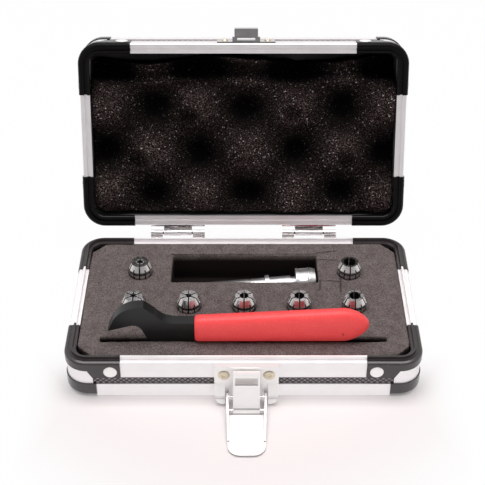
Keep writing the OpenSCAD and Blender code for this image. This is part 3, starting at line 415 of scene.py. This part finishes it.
def soft_edges():
    """A modifier tree that shades smooth but keeps the sharper edges."""
    tree = bpy.data.node_groups.new("soft_edges", "GeometryNodeTree")
    tree.interface.new_socket("Geometry", in_out="INPUT", socket_type="NodeSocketGeometry")
    tree.interface.new_socket("Geometry", in_out="OUTPUT", socket_type="NodeSocketGeometry")
    came, gone = tree.nodes.new("NodeGroupInput"), tree.nodes.new("NodeGroupOutput")
    faces = tree.nodes.new("GeometryNodeSetShadeSmooth")
    edges = tree.nodes.new("GeometryNodeSetShadeSmooth")
    edges.domain = "EDGE"
    angle = tree.nodes.new("GeometryNodeInputMeshEdgeAngle")
    flat = tree.nodes.new("FunctionNodeCompare")
    flat.operation = "LESS_THAN"
    flat.inputs[1].default_value = SMOOTH_BELOW
    tree.links.new(came.outputs[0], faces.inputs[0])
    tree.links.new(faces.outputs[0], edges.inputs[0])
    tree.links.new(angle.outputs[0], flat.inputs[0])
    tree.links.new(flat.outputs[0], edges.inputs[2])
    tree.links.new(edges.outputs[0], gone.inputs[0])
    return tree


SOFT_EDGES = soft_edges()


def soften(piece, width=0.0):
    """Breaks a piece's edges by a width in millimetres and shades what is round smoothly."""
    if width:
        broken = piece.modifiers.new("broken_edges", "BEVEL")
        broken.width = width * MM
        broken.segments = 2
        broken.limit_method = "ANGLE"
        broken.angle_limit = BREAK_ABOVE
        broken.use_clamp_overlap = True
    smooth = piece.modifiers.new("smooth", "NODES")
    smooth.node_group = SOFT_EDGES


BREAKS = {"aluminium": 0.2, "black_plastic": 0.35, "nickel": 0.25, "steel": 0.12, "black_steel": 0.4,
          "brass_rivet": 0.25}
SPECIAL = {"chuck_body": SHADED_CHUCK, "chuck_nut": SHADED_CHUCK, "strike_plate": SHADED_STRIKE,
           "base_board": BASE_BOARD, "lid_board": LID_BOARD}


def finish_of(node, slot):
    """The finish of a solid; some solids are finished apart from the others of their slot."""
    # The lid's corners get the darker copy of the black plastic, as painted shade.
    if node.startswith("lid_") and slot == "black_plastic":
        return SHADED_LID_CORNERS
    if node.startswith("lid_rim_"):
        return LID_BARS
    if node.startswith("hinge_") and node.endswith("_leaf"):
        return HINGE
    # The hinge pins are dressed near black, so that the gaps between the knuckles show painted shade.
    if node.startswith("hinge_") and node.endswith("_pin"):
        return FINISHES["black_steel"]
    return SPECIAL.get(node, FINISHES[slot])


for row in frame["record"]["subparts"]:
    solid, slot = row["node"], row["material_slot"]
    dress(NODES[solid], finish_of(solid, slot))
    soften(NODES[solid], BREAKS.get(slot, 0))


# ------------------------------------------------------------------ making pieces

def made(name, points, faces, material, slot, body):
    """A piece from its points and faces; it moves with a body."""
    mesh = bpy.data.meshes.new(name)
    mesh.from_pydata([tuple(p) for p in points], [], faces)
    mesh.validate()
    piece = bpy.data.objects.new(name, mesh)
    bpy.context.scene.collection.objects.link(piece)
    dress(piece, material)
    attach(piece, body)
    return piece


def face_out(piece):
    shell = bmesh.new()
    shell.from_mesh(piece.data)
    bmesh.ops.recalc_face_normals(shell, faces=shell.faces)
    shell.to_mesh(piece.data)
    shell.free()


def spare(node, name):
    """A copy of a solid, to be worked on and then put in its place."""
    piece = NODES[node].copy()
    piece.data = piece.data.copy()
    piece.name = name
    piece.parent = None
    piece.modifiers.clear()
    for key in list(piece.keys()):
        del piece[key]
    bpy.context.scene.collection.objects.link(piece)
    return piece


def settle(piece):
    """Turns a piece's modifiers into its mesh."""
    seen = piece.evaluated_get(bpy.context.evaluated_depsgraph_get())
    piece.data = bpy.data.meshes.new_from_object(seen)
    piece.modifiers.clear()


def rough(x, y, z):
    """Noise from -1 to 1 at a place."""
    return noise.noise(Vector((x, y, z)))


def crumble(piece, sizes):
    """Moves each point along its normal by noise, given as pairs of spot size and height in
    millimetres."""
    mesh = piece.data
    normals = [v.normal.copy() for v in mesh.vertices]
    for vertex, normal in zip(mesh.vertices, normals):
        push = sum(height * noise.noise(vertex.co / (spot * MM)) for spot, height in sizes)
        vertex.co += normal * push * MM


# ------------------------------------------------------------------ egg crate foam

# The foam's half width and depth, its corners' radius, its foot over the lid's outer face, and its
# bumps: their pitch, where they start, their middle height, their swing and how far they wander.
CRATE_HALF = (112.4, 61.4)
CRATE_ROUND, CRATE_FOOT = 9, 3.6
CRATE_PITCH_X, CRATE_PITCH_Y = 35, 33
CRATE_SHIFT = (3, -3)
CRATE_MID, CRATE_SWING = 22.1, 9
CRATE_DRIFT = 5
# Heights at which the painted shade makes the foam darkest and palest.
CRATE_SHADED, CRATE_LIT = 14, 31
CRATE_COLUMNS, CRATE_ROWS, CRATE_SIDE_ROWS = 236, 130, 8
CRATE_EDGE_DROP = 1.4
# Small dimples, and the hollow that runs behind the front wall.
DIMPLES = ((-40, -13.4), (36.4, -15.6), (-78.5, 20.6), (77, 20.6))
DIMPLE_R, DIMPLE_DEEP = 6.5, 5.5
HOLLOW_Y, HOLLOW_HALF, HOLLOW_DEEP = -47.5, 6.8, 8.5


def crate_height(x, y):
    """The foam's surface over the lid's outer face: broad peaks and narrow pits by turns, small
    dimples, and a long hollow behind the front wall."""
    across = x - CRATE_SHIFT[0] + CRATE_DRIFT * rough(x / 40, y / 40, 8)
    deep = y - CRATE_SHIFT[1] + CRATE_DRIFT * rough(x / 40, y / 40, 15)
    wave = math.cos(math.pi * across / CRATE_PITCH_X) * math.sin(math.pi * deep / CRATE_PITCH_Y)
    wave = math.copysign(abs(wave) ** (1.5 if wave < 0 else 0.75), wave)
    wobble = rough(x / 24, y / 24, 3.1)
    crumbs = rough(x / 1.5, y / 1.5, 0.4) + 0.6 * rough(x / 0.8, y / 0.8, 7)
    high = CRATE_MID + CRATE_SWING * wave * (1 + 0.15 * wobble) + 1.2 * wobble + 0.4 * crumbs
    for dimple_x, dimple_y in DIMPLES:
        apart = math.hypot(x - dimple_x, y - dimple_y) / DIMPLE_R
        high -= DIMPLE_DEEP * math.exp(-apart ** 4)
    bend = 1.6 * math.sin(x / 17) + 1.2 * rough(x / 12, 3, 1)
    return high - HOLLOW_DEEP * math.exp(-((y - HOLLOW_Y - bend) / HOLLOW_HALF) ** 4)


def crate_plan(column, row):
    """A point of the foam's plan: its sides are cut unevenly, and it has sunk from the lid's front
    wall in waves."""
    half_x, half_y = CRATE_HALF
    x, y = (2 * column / CRATE_COLUMNS - 1) * half_x, (2 * row / CRATE_ROWS - 1) * half_y
    over_x = max(abs(x) - half_x + CRATE_ROUND, 0)
    over_y = max(abs(y) - half_y + CRATE_ROUND, 0)
    if over_x and over_y:
        pull = max(over_x, over_y) / math.hypot(over_x, over_y)
        x -= math.copysign(over_x * (1 - pull), x)
        y -= math.copysign(over_y * (1 - pull), y)
    if row < CRATE_ROWS / 2:
        sag = 7.0 + 2.6 * math.cos(math.pi * (x - 48) / 61) + 0.9 * rough(x / 9, 2, 5)
        y += sag * max(0, (-y - half_y + 30) / 30) ** 2
    ragged = 0.5 + 0.5 * rough(x / 7, y / 7, 1)
    return x * (1 - 0.006 * ragged), y


def shade_heights(foam, points):
    """How far each point lies over the valleys, 0 to 1, for the painted shade that darkens the foam low
    down.
    """
    board = in_lid(0, 0, 0)
    heights = foam.data.attributes.new("painted_shade_by_height", "FLOAT", "POINT")
    for height, point in zip(heights.data, points):
        over = (point - board).dot(LID_OUT) / MM
        height.value = min(max((over - CRATE_SHADED) / (CRATE_LIT - CRATE_SHADED), 0), 1) ** 1.6


def egg_crate_foam():
    columns, rows = CRATE_COLUMNS, CRATE_ROWS
    points = []
    for j in range(rows + 1):
        for i in range(columns + 1):
            x, y = crate_plan(i, j)
            rim = min(i, columns - i, j, rows - j)
            drop = CRATE_EDGE_DROP * (1 - rim / 3) ** 2 if rim < 3 else 0
            points.append(in_lid(x, y, crate_height(x, y) - drop))

    def at(i, j):
        return j * (columns + 1) + i

    faces = [(at(i, j), at(i, j + 1), at(i + 1, j + 1), at(i + 1, j))
             for j in range(rows) for i in range(columns)]
    ring = ([(i, 0) for i in range(columns)] + [(columns, j) for j in range(rows)]
            + [(i, rows) for i in range(columns, 0, -1)] + [(0, j) for j in range(rows, 0, -1)])
    rings = [[at(i, j) for i, j in ring]]
    for level in range(1, CRATE_SIDE_ROWS + 1):
        lower = []
        for i, j in ring:
            x, y = crate_plan(i, j)
            high = crate_height(x, y) - CRATE_EDGE_DROP
            z = high + (CRATE_FOOT - high) * level / CRATE_SIDE_ROWS
            cut = 0.4 * rough(x / 2, y / 2, z / 2)
            lower.append(len(points))
            points.append(in_lid(x * (1 + cut / 112), y * (1 + cut / 61), z))
        rings.append(lower)
    for upper, lower in zip(rings, rings[1:]):
        for k in range(len(ring)):
            m = (k + 1) % len(ring)
            faces.append((upper[k], upper[m], lower[m], lower[k]))
    faces.append(tuple(rings[-1]))
    foam = made("egg_crate_foam", points, faces, FINISHES["crate_foam"], "crate_foam", "lid")
    shade_heights(foam, points)
    face_out(foam)
    for face in foam.data.polygons:
        face.use_smooth = True
    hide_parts("lid_foam")
    in_lid(0, 0, CRATE_FOOT)
    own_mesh(foam)


# ------------------------------------------------------------------ flat foam

KNIFE_CUTS = (((54, 49.6), (68.9, 51.6)), ((55, 41.8), (68, 41.2)), ((54.9, 17.9), (68.3, 16.5)),
              ((55, 17.5), (54.2, 7.6)), ((69.8, 21), (68.9, 4.7)), ((-53, 47.6), (54, 48.2)))
# How deep under the top the painted shade in a pocket starts, how far from the sides, and within what
# depth it comes to full dark.
FOAM_SKIN, FOAM_RIM, SHADE_WITHIN = 1.2, 1.5, 4
VOXEL = 0.75


def knife_slit_shade(x, y):
    """How dark a knife slip's painted shade, about 1 mm to each side of it, makes the insert's top at x
    and y.
    """
    deepest = 0.0
    for start, end in KNIFE_CUTS:
        run = Vector(end) - Vector(start)
        share = min(max((Vector((x, y)) - Vector(start)).dot(run) / run.length_squared, 0), 1)
        apart = (Vector(start) + run * share - Vector((x, y))).length
        deepest = max(deepest, (0.85 + 0.5 * rough(x / 5, y / 5, 2)) * (1 - apart))
    return deepest


def shade_depths(foam):
    """How dark each point is by painted shade: the pockets below the insert's top, and the knife slips
    on it.
    """
    depths = foam.data.attributes.new("painted_pocket_and_slit_shade", "FLOAT", "POINT")
    for vertex, depth in zip(foam.data.vertices, depths.data):
        x, y, z = vertex.co / MM
        under = FOAM_TOP - FOAM_SKIN - z
        if abs(x) < FOAM_HALF[0] - FOAM_RIM and abs(y) < FOAM_HALF[1] - FOAM_RIM:
            depth.value = min(max(under / SHADE_WITHIN, 0), 1)
        if under < 0 and (51 < x < 72 or 46 < y < 50):
            depth.value = max(depth.value, knife_slit_shade(x, y))


def cut_foam():
    """The flat insert, with the soft edges of knife-cut foam."""
    foam = spare("base_foam", "cut_foam_insert")
    weld = foam.modifiers.new("weld", "WELD")
    weld.merge_threshold = 0.01 * MM
    cubes = foam.modifiers.new("cubes", "REMESH")
    cubes.mode = "VOXEL"
    cubes.voxel_size = VOXEL * MM
    settle(foam)
    rounded = foam.modifiers.new("rounded", "SMOOTH")
    rounded.iterations = 3
    rounded.factor = 0.5
    settle(foam)
    shade_depths(foam)
    crumble(foam, [(1.6, 0.16), (14, 0.30), (45, 0.35)])
    for face in foam.data.polygons:
        face.use_smooth = True
    dress(foam, FINISHES["grey_foam"])
    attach(foam, "base")
    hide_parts("base_foam")


# ------------------------------------------------------------------ collets

# Under a collet's face: where its groove starts and ends and how wide it is there, how far down
# the slots from its face alone reach, and half the width of the painted shade along a slot.
GROOVE_FROM, GROOVE_TO, GROOVE_R = 4.6, 7.0, 8.2
FACE_SLOTS_TO, SLOT_SHADE_HALF = 2.6, 0.5
SLOT_TURN = 60


def marked_collet(node):
    """A collet whose slots, groove and bore are marked, so that painted shade makes its finish black
    there.
    """
    collet = spare(node, "ground_" + node)
    corners = [vertex.co.copy() for vertex in collet.data.vertices]
    middle = [(min(c[k] for c in corners) + max(c[k] for c in corners)) / 2 for k in (0, 1)]
    top = max(c.z for c in corners)
    marks = collet.data.attributes.new("painted_crevice_shade", "FLOAT", "FACE")
    for face, mark in zip(collet.data.polygons, marks.data):
        out = Vector((face.center.x - middle[0], face.center.y - middle[1], 0))
        radius, down = out.length / MM, (top - face.center.z) / MM
        out.normalize()
        radial, along = face.normal.dot(out), abs(face.normal.cross(out).z)
        # Painted shade: black on the slots' walls and in the bore, nearly black in the groove.
        if along > 0.75 or radial < -0.4:
            mark.value = 1.0
        elif GROOVE_FROM < down < GROOVE_TO and radius < GROOVE_R:
            mark.value = 0.85
    # Painted shade: a black line along each slot.
    slits = collet.data.attributes.new("painted_slot_line_shade", "FLOAT", "POINT")
    for corner, painted_slot_line_shade in zip(corners, slits.data):
        x, y, down = (corner.x - middle[0]) / MM, (corner.y - middle[1]) / MM, (top - corner.z) / MM
        turn = math.degrees(math.atan2(y, x))
        from_face = abs(turn % SLOT_TURN - SLOT_TURN / 2)
        from_tail = abs((turn + SLOT_TURN / 2) % SLOT_TURN - SLOT_TURN / 2)
        aside = min(from_face, from_tail) if down > FACE_SLOTS_TO else from_face
        painted_slot_line_shade.value = 1.0 if math.hypot(x, y) * math.radians(aside) < SLOT_SHADE_HALF else 0.0
    dress(collet, FINISHES["steel"])
    soften(collet, 0.1)
    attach(collet, node)
    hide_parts(node)


# ------------------------------------------------------------------ pressed sheet

# For each sheet: its body, and how dark the painted shade on its cut edges is.
PRESSED = {"latch_plate": ("base", 0.28), "latch_lever": ("latch_lever", 0.8),
           "latch_claw": ("latch_claw", 0.9)}
CLAW_HOOK_H = 4


def on_cut_edge(node, face, top):
    """Whether a face lies on a cut edge: the plate stands upright, the lever lies flat, and the
    claw's edges face sideways, or up inside its window."""
    x, y, z = face.normal
    if node == "latch_plate":
        return abs(y) < 0.45
    if node == "latch_lever":
        return abs(z) < 0.45
    return abs(x) > 0.6 or (z > 0.8 and face.center.z < top - CLAW_HOOK_H * MM)


def pressed_sheet(node):
    """A plated piece of the latch whose cut edges are marked, so that painted shade darkens its finish
    there.
    """
    body, edge_shade = PRESSED[node]
    sheet = spare(node, "pressed_" + node)
    top = max(vertex.co.z for vertex in sheet.data.vertices)
    marks = sheet.data.attributes.new("painted_edge_shade", "FLOAT", "FACE")
    for face, mark in zip(sheet.data.polygons, marks.data):
        mark.value = edge_shade if on_cut_edge(node, face, top) else 0.0
    dress(sheet, FINISHES["nickel"])
    soften(sheet, 0.12)
    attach(sheet, body)
    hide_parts(node)


# ------------------------------------------------------------------ chequered skin

# How far the black corners reach along each side, how far the boards' faces stand in from the
# corners, and where a strip starts over the floor and ends under the rim.
ARM, WALL_IN = 16, 2
STRIP_LOW, STRIP_UNDER = 10.4, 13.3


def weave(name, body, half_w, low, high, to_place):
    """Staggered pillows pressed into a skin; to_place puts (along, up, out) on the case."""
    # Each ring of a pillow: its share of the pitch, and how far out it stands.
    pillow = ((0.74, 0.0), (0.60, 0.24), (0.30, 0.36))
    points, faces = [], []
    rows = max(1, round((high - low) / (WEAVE_H / 2)))
    step = (high - low) / rows
    columns = int(half_w / (WEAVE_W / 2))
    for row in range(rows):
        for column in range(-columns, columns + 1):
            if (row + column) % 2:
                continue
            x, z = column * WEAVE_W / 2, low + (row + 0.5) * step
            first = len(points)
            for share, out in pillow:
                w, h = WEAVE_W / 2 * share, step * 0.98 * share
                for dx, dz in ((w, 0), (0, h), (-w, 0), (0, -h)):
                    along = min(max(x + dx, -half_w), half_w)
                    up = min(max(z + dz, low), high)
                    points.append(to_place(along, up, out))
            for ring in (0, 4):
                for k in range(4):
                    a, b = first + ring + k, first + ring + (k + 1) % 4
                    faces.append((a, b, b + 4, a + 4))
            faces.append(tuple(first + 8 + k for k in range(4)))
    made(name, points, faces, SKIN, "board", body)


def chequered_sides():
    """The strips between the bars, on all four sides of the base and of the lid."""
    arm_x, arm_y = CASE_W / 2 - ARM, CASE_D / 2 - ARM
    x, y = CASE_W / 2 - WALL_IN, CASE_D / 2 - WALL_IN
    for body, place, tall in (("base", in_base, BASE_H), ("lid", in_lid, LID_H)):
        strip = STRIP_LOW, tall - STRIP_UNDER
        weave(body + "_front_skin", body, arm_x, *strip, lambda a, u, o, p=place: p(a, -y - o, u))
        weave(body + "_rear_skin", body, arm_x, *strip, lambda a, u, o, p=place: p(a, y + o, u))
        weave(body + "_left_skin", body, arm_y, *strip, lambda a, u, o, p=place: p(-x - o, a, u))
        weave(body + "_right_skin", body, arm_y, *strip, lambda a, u, o, p=place: p(x + o, a, u))


# ------------------------------------------------------------------ dipped grip

GRIP_X = (-32.6, 84.1)
GRIP_Y, GRIP_HALF_T = -44.4, 5.9
GRIP_LOW, GRIP_START_H, GRIP_H = 29.7, 19.1, 25.4
GRIP_NOSE = 17
GRIP_LIP, GRIP_LIP_L = 0.9, 1.6
# How flat the grip's sides and its top and bottom are: 1 would be an ellipse.
GRIP_FLAT_Y, GRIP_FLAT_Z = 0.74, 0.60
# Where a small dark speck sits on the grip's front side, and its radius.
GRIP_SPECK, SPECK_R = (66.5, -50, 38), 2.0
STATIONS, AROUND = 96, 48


def grip_section(x):
    """Half thickness, half height and middle height of the grip at x."""
    along = (x - GRIP_X[0]) / (GRIP_X[1] - GRIP_NOSE - GRIP_X[0])
    high = GRIP_START_H + (GRIP_H - GRIP_START_H) * min(along, 1)
    half_y, half_z, mid = GRIP_HALF_T, high / 2, GRIP_LOW + high / 2
    if along > 1:
        deep = (GRIP_X[1] - x) / GRIP_NOSE
        left = max(0.0, 1 - (1 - deep) ** 1.6) ** 0.6
        half_z *= left
        half_y *= left ** 0.6
        mid += 0.8 * (1 - left)
    lip = GRIP_LIP * max(0.0, 1 - (x - GRIP_X[0]) / GRIP_LIP_L) ** 2
    return max(half_y - lip, 0.02), max(half_z - lip, 0.02), mid


def grip_share(t):
    """How far along the grip a station stands: the stations draw together at the pointed end."""
    return 1 - (1 - t) ** 1.6 if t > 0.5 else t * (1 - 0.5 ** 1.6) / 0.5


def dipped_grip():
    """The red dip over the spanner's flat handle: flat sides, round edges and a pointed end."""
    points, faces = [], []
    for i in range(STATIONS + 1):
        x = GRIP_X[0] + (GRIP_X[1] - GRIP_X[0]) * grip_share(i / STATIONS)
        half_y, half_z, mid = grip_section(x)
        for k in range(AROUND):
            turn = 2 * math.pi * k / AROUND
            c, s = math.cos(turn), math.sin(turn)
            y = half_y * math.copysign(abs(c) ** GRIP_FLAT_Y, c)
            z = half_z * math.copysign(abs(s) ** GRIP_FLAT_Z, s)
            sway = 0.10 * rough(x / 11, y / 7, z / 9)
            points.append(in_base(x, GRIP_Y + y * (1 + sway / 6), mid + z))
    for i in range(STATIONS):
        for k in range(AROUND):
            a, b = i * AROUND + k, i * AROUND + (k + 1) % AROUND
            faces.append((a, b, b + AROUND, a + AROUND))
    faces.append(tuple(range(AROUND - 1, -1, -1)))
    faces.append(tuple(STATIONS * AROUND + k for k in range(AROUND)))
    grip = made("dipped_red_grip", points, faces, FINISHES["red_grip"], "red_grip", "spanner")
    dark_specks = grip.data.attributes.new("dark_speck", "FLOAT", "POINT")
    for vertex, dark_speck in zip(grip.data.vertices, dark_specks.data):
        dark_speck.value = max(0.0, 1 - (vertex.co / MM - Vector(GRIP_SPECK)).length / SPECK_R)
    face_out(grip)
    soften(grip)
    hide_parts("spanner_grip")


# ------------------------------------------------------------------ rivets

CORNER_RIVET_X, CORNER_RIVET_Y = 88.4, 37.4
HINGE_RIVET_XS = [side * 49.5 + leaf * 12.15 for side in (-1, 1) for leaf in (-1, 1)]
HINGE_BACK, LATCH_FRONT, STRIKE_FRONT = 69.4, -72, -69.4
RIVET_TALL = 1.0
RIVET_AROUND = 40
# Rings of a head from its foot to its crown: share of its radius, share of its height.
DOME = [(1.0, 0.0), (1.0, 0.18), (0.97, 0.30)]
DOME += [(r, 0.30 + 0.70 * math.sqrt(1 - r * r / 0.98)) for r in (0.88, 0.76, 0.6, 0.42, 0.22)]


def rivet_heads(name, replaced, body, slot, across, seats, dimple=0.0):
    """Domed heads; each seat is a function that puts (along, up, out) of its head on the case."""
    points, faces = [], []
    rings, crown = DOME, 1.0
    if dimple:
        rings = DOME[:6] + [(0.36, 0.80), (0.28, 0.80 - dimple), (0.14, 0.76 - dimple)]
        crown = 0.75 - dimple
    for seat in seats:
        first = len(points)
        for share, out in rings:
            for k in range(RIVET_AROUND):
                turn = 2 * math.pi * k / RIVET_AROUND
                r = across / 2 * share
                points.append(seat(r * math.cos(turn), r * math.sin(turn), RIVET_TALL * out))
        points.append(seat(0, 0, RIVET_TALL * crown))
        top, last = len(points) - 1, first + (len(rings) - 1) * RIVET_AROUND
        for start in range(first, last, RIVET_AROUND):
            for k in range(RIVET_AROUND):
                a, b = start + k, start + (k + 1) % RIVET_AROUND
                faces.append((a, b, b + RIVET_AROUND, a + RIVET_AROUND))
        faces += [(last + k, last + (k + 1) % RIVET_AROUND, top) for k in range(RIVET_AROUND)]
        faces.append(tuple(first + k for k in range(RIVET_AROUND - 1, -1, -1)))
    heads = made(name, points, faces, FINISHES[slot], slot, body)
    face_out(heads)
    soften(heads)
    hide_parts(replaced)


def corner_seats(place, z):
    """Two rivets at each corner, one on each side of it."""
    x, y = CASE_W / 2, CASE_D / 2
    along_x, along_y = CORNER_RIVET_X, CORNER_RIVET_Y
    seats = []
    for i in (-1, 1):
        for j in (-1, 1):
            seats.append(lambda a, u, o, i=i, j=j: place(i * (along_x + a), j * (y + o), z + u))
            seats.append(lambda a, u, o, i=i, j=j: place(i * (x + o), j * (along_y + a), z + u))
    return seats


def plate_seats(place, xs, y, z, side):
    """A row of rivets on a plate, in front of the case or behind it."""
    return [lambda a, u, o, x=x: place(x + a, y + side * o, z + u) for x in xs]


def all_rivets():
    rivet_heads("base_corner_rivet_heads", "base_corner_rivets", "base", "nickel", 9,
                corner_seats(in_base, 22))
    rivet_heads("lid_corner_rivet_heads", "lid_corner_rivets", "lid", "nickel", 9,
                corner_seats(in_lid, 26))
    rivet_heads("base_hinge_rivet_heads", "hinge_rivets_base", "base", "nickel", 5,
                plate_seats(in_base, HINGE_RIVET_XS, HINGE_BACK, 18.5, 1))
    rivet_heads("lid_hinge_rivet_heads", "hinge_rivets_lid", "lid", "nickel", 5,
                plate_seats(in_lid, HINGE_RIVET_XS, HINGE_BACK, 22.5, 1))
    rivet_heads("latch_rivet_heads", "latch_rivets", "base", "brass_rivet", 8,
                plate_seats(in_base, (-13, 17), LATCH_FRONT, 22.2, -1), dimple=0.45)
    rivet_heads("strike_rivet_heads", "strike_rivets", "lid", "brass_rivet", 5,
                plate_seats(in_lid, (-13.5, 17.5), STRIKE_FRONT, 24.8, -1), dimple=0.45)


egg_crate_foam()
cut_foam()
for collet_node in [name for name in NODES if name.startswith("collet_")]:
    marked_collet(collet_node)
for sheet_node in PRESSED:
    pressed_sheet(sheet_node)
chequered_sides()
all_rivets()
dipped_grip()


# ------------------------------------------------------------------ camera, lights and floor

CAMERA_AT, CAMERA_DOWN = (0, -0.6319, 0.5630), 37.54
LENS, SENSOR, SHIFT = 86.92, 36, -0.002


def set_camera():
    lens = bpy.data.cameras.new("camera")
    lens.sensor_width = SENSOR
    lens.lens = LENS
    lens.shift_x = SHIFT
    lens.clip_start = 0.05
    camera = bpy.data.objects.new("camera", lens)
    camera.location = CAMERA_AT
    camera.rotation_euler = (math.radians(90 - CAMERA_DOWN), 0, 0)
    bpy.context.scene.collection.objects.link(camera)
    bpy.context.scene.camera = camera


def softbox(name, place, aim, size, power, mirrored=True):
    light = bpy.data.lights.new(name, "AREA")
    light.shape = "RECTANGLE"
    light.size, light.size_y = size
    light.energy = power
    lamp = bpy.data.objects.new(name, light)
    lamp.location = place
    lamp.rotation_euler = (Vector(aim) - Vector(place)).to_track_quat("-Z", "Y").to_euler()
    lamp.visible_glossy = mirrored
    bpy.context.scene.collection.objects.link(lamp)


FLOOR_HALF = 3.0
FLOOR_GREY = (0.86, 0.795, 0.795)
# How much of its own white the floor shows near the case and far from it, and in mirrors.
NEAR_WHITE, FAR_WHITE, MIRROR_WHITE = 0.04, 0.94, 0.98


def pale_floor():
    """A floor that takes the case's shadow near it and is plain white further off."""
    h = FLOOR_HALF
    mesh = bpy.data.meshes.new("floor")
    mesh.from_pydata([(-h, -h, 0), (h, -h, 0), (h, h, 0), (-h, h, 0)], [], [(0, 1, 2, 3)])
    floor = bpy.data.objects.new("floor", mesh)
    bpy.context.scene.collection.objects.link(floor)
    f = Finish("pale_floor", Roughness=0.9, Specular_IOR_Level=0.1)
    f.set("Base Color", FLOOR_GREY)
    seen = f.node("ShaderNodeLightPath", output=0)
    glossy = f.node("ShaderNodeLightPath", output=3)
    reach = f.node("ShaderNodeVectorMath", {"operation": "LENGTH"}, {0: f.place()}, output=1)
    back = f.node("ShaderNodeSeparateXYZ", None, {0: f.place()}, output=1)
    side = f.node("ShaderNodeSeparateXYZ", None, {0: f.place()}, output=0)
    side = side.maths("ABSOLUTE", side, 0)
    far = reach.above(0.165, 0.045)
    far = far.maths("MAXIMUM", far, back.above(-0.05, 0.03))
    far = far.maths("MAXIMUM", far, side.above(0.128, 0.022))
    glow = f.node("ShaderNodeEmission", None, {"Color": (1, 1, 1), "Strength": 1.0})
    share = seen * (NEAR_WHITE + far * FAR_WHITE) + glossy * MIRROR_WHITE
    blend = f.node("ShaderNodeMixShader", None, {0: share, 1: Tone(f, f.shader.outputs[0]), 2: glow})
    f.tree.links.new(blend.socket, f.tree.nodes["Material Output"].inputs[0])
    mesh.materials.append(f.material)


WORLD_FILL = 0.10
DIM_FRONT = 0.50
OVERHEAD_W, FRONT_FILL_W = 12.5, 9.2


def studio():
    """White all round, dimmer towards the front for what mirrors it, and a soft lamp overhead."""
    world = bpy.data.worlds.new("studio")
    bpy.context.scene.world = world
    world.use_nodes = True
    tree = world.node_tree

    def node(kind, **settings):
        made_node = tree.nodes.new(kind)
        for name, value in settings.items():
            setattr(made_node, name, value)
        return made_node

    def join(source, target):
        tree.links.new(source, target)

    path = node("ShaderNodeLightPath")
    where = node("ShaderNodeTexCoord")
    parts = node("ShaderNodeSeparateXYZ")
    # From full white just behind the middle down to the dim front.
    front = node("ShaderNodeMapRange", interpolation_type="SMOOTHSTEP")
    for place, value in zip((1, 2, 3, 4), (0.1, -0.75, 1.0, DIM_FRONT)):
        front.inputs[place].default_value = value
    join(where.outputs["Generated"], parts.inputs[0])
    join(parts.outputs["Y"], front.inputs[0])
    plain = tree.nodes["Background"]
    plain.inputs[0].default_value = (1, 1, 1, 1)
    plain.inputs[1].default_value = WORLD_FILL
    mirrored, seen = node("ShaderNodeBackground"), node("ShaderNodeBackground")
    join(front.outputs[0], mirrored.inputs[1])
    seen.inputs[0].default_value = (1, 1, 1, 1)
    seen.inputs[1].default_value = 1.0
    gloss, view = node("ShaderNodeMixShader"), node("ShaderNodeMixShader")
    join(path.outputs["Is Glossy Ray"], gloss.inputs[0])
    join(plain.outputs[0], gloss.inputs[1])
    join(mirrored.outputs[0], gloss.inputs[2])
    join(path.outputs["Is Camera Ray"], view.inputs[0])
    join(gloss.outputs[0], view.inputs[1])
    join(seen.outputs[0], view.inputs[2])
    join(view.outputs[0], tree.nodes["World Output"].inputs[0])
    softbox("overhead", (0.0, 0.06, 1.05), (0, 0.0, 0), (1.3, 0.6), OVERHEAD_W)
    softbox("front_fill", (0.1, -1.4, 0.5), (0, 0, 0.05), (1.2, 0.6), FRONT_FILL_W, mirrored=False)
    bpy.context.scene.view_settings.view_transform = "Standard"


set_camera()
pale_floor()
studio()
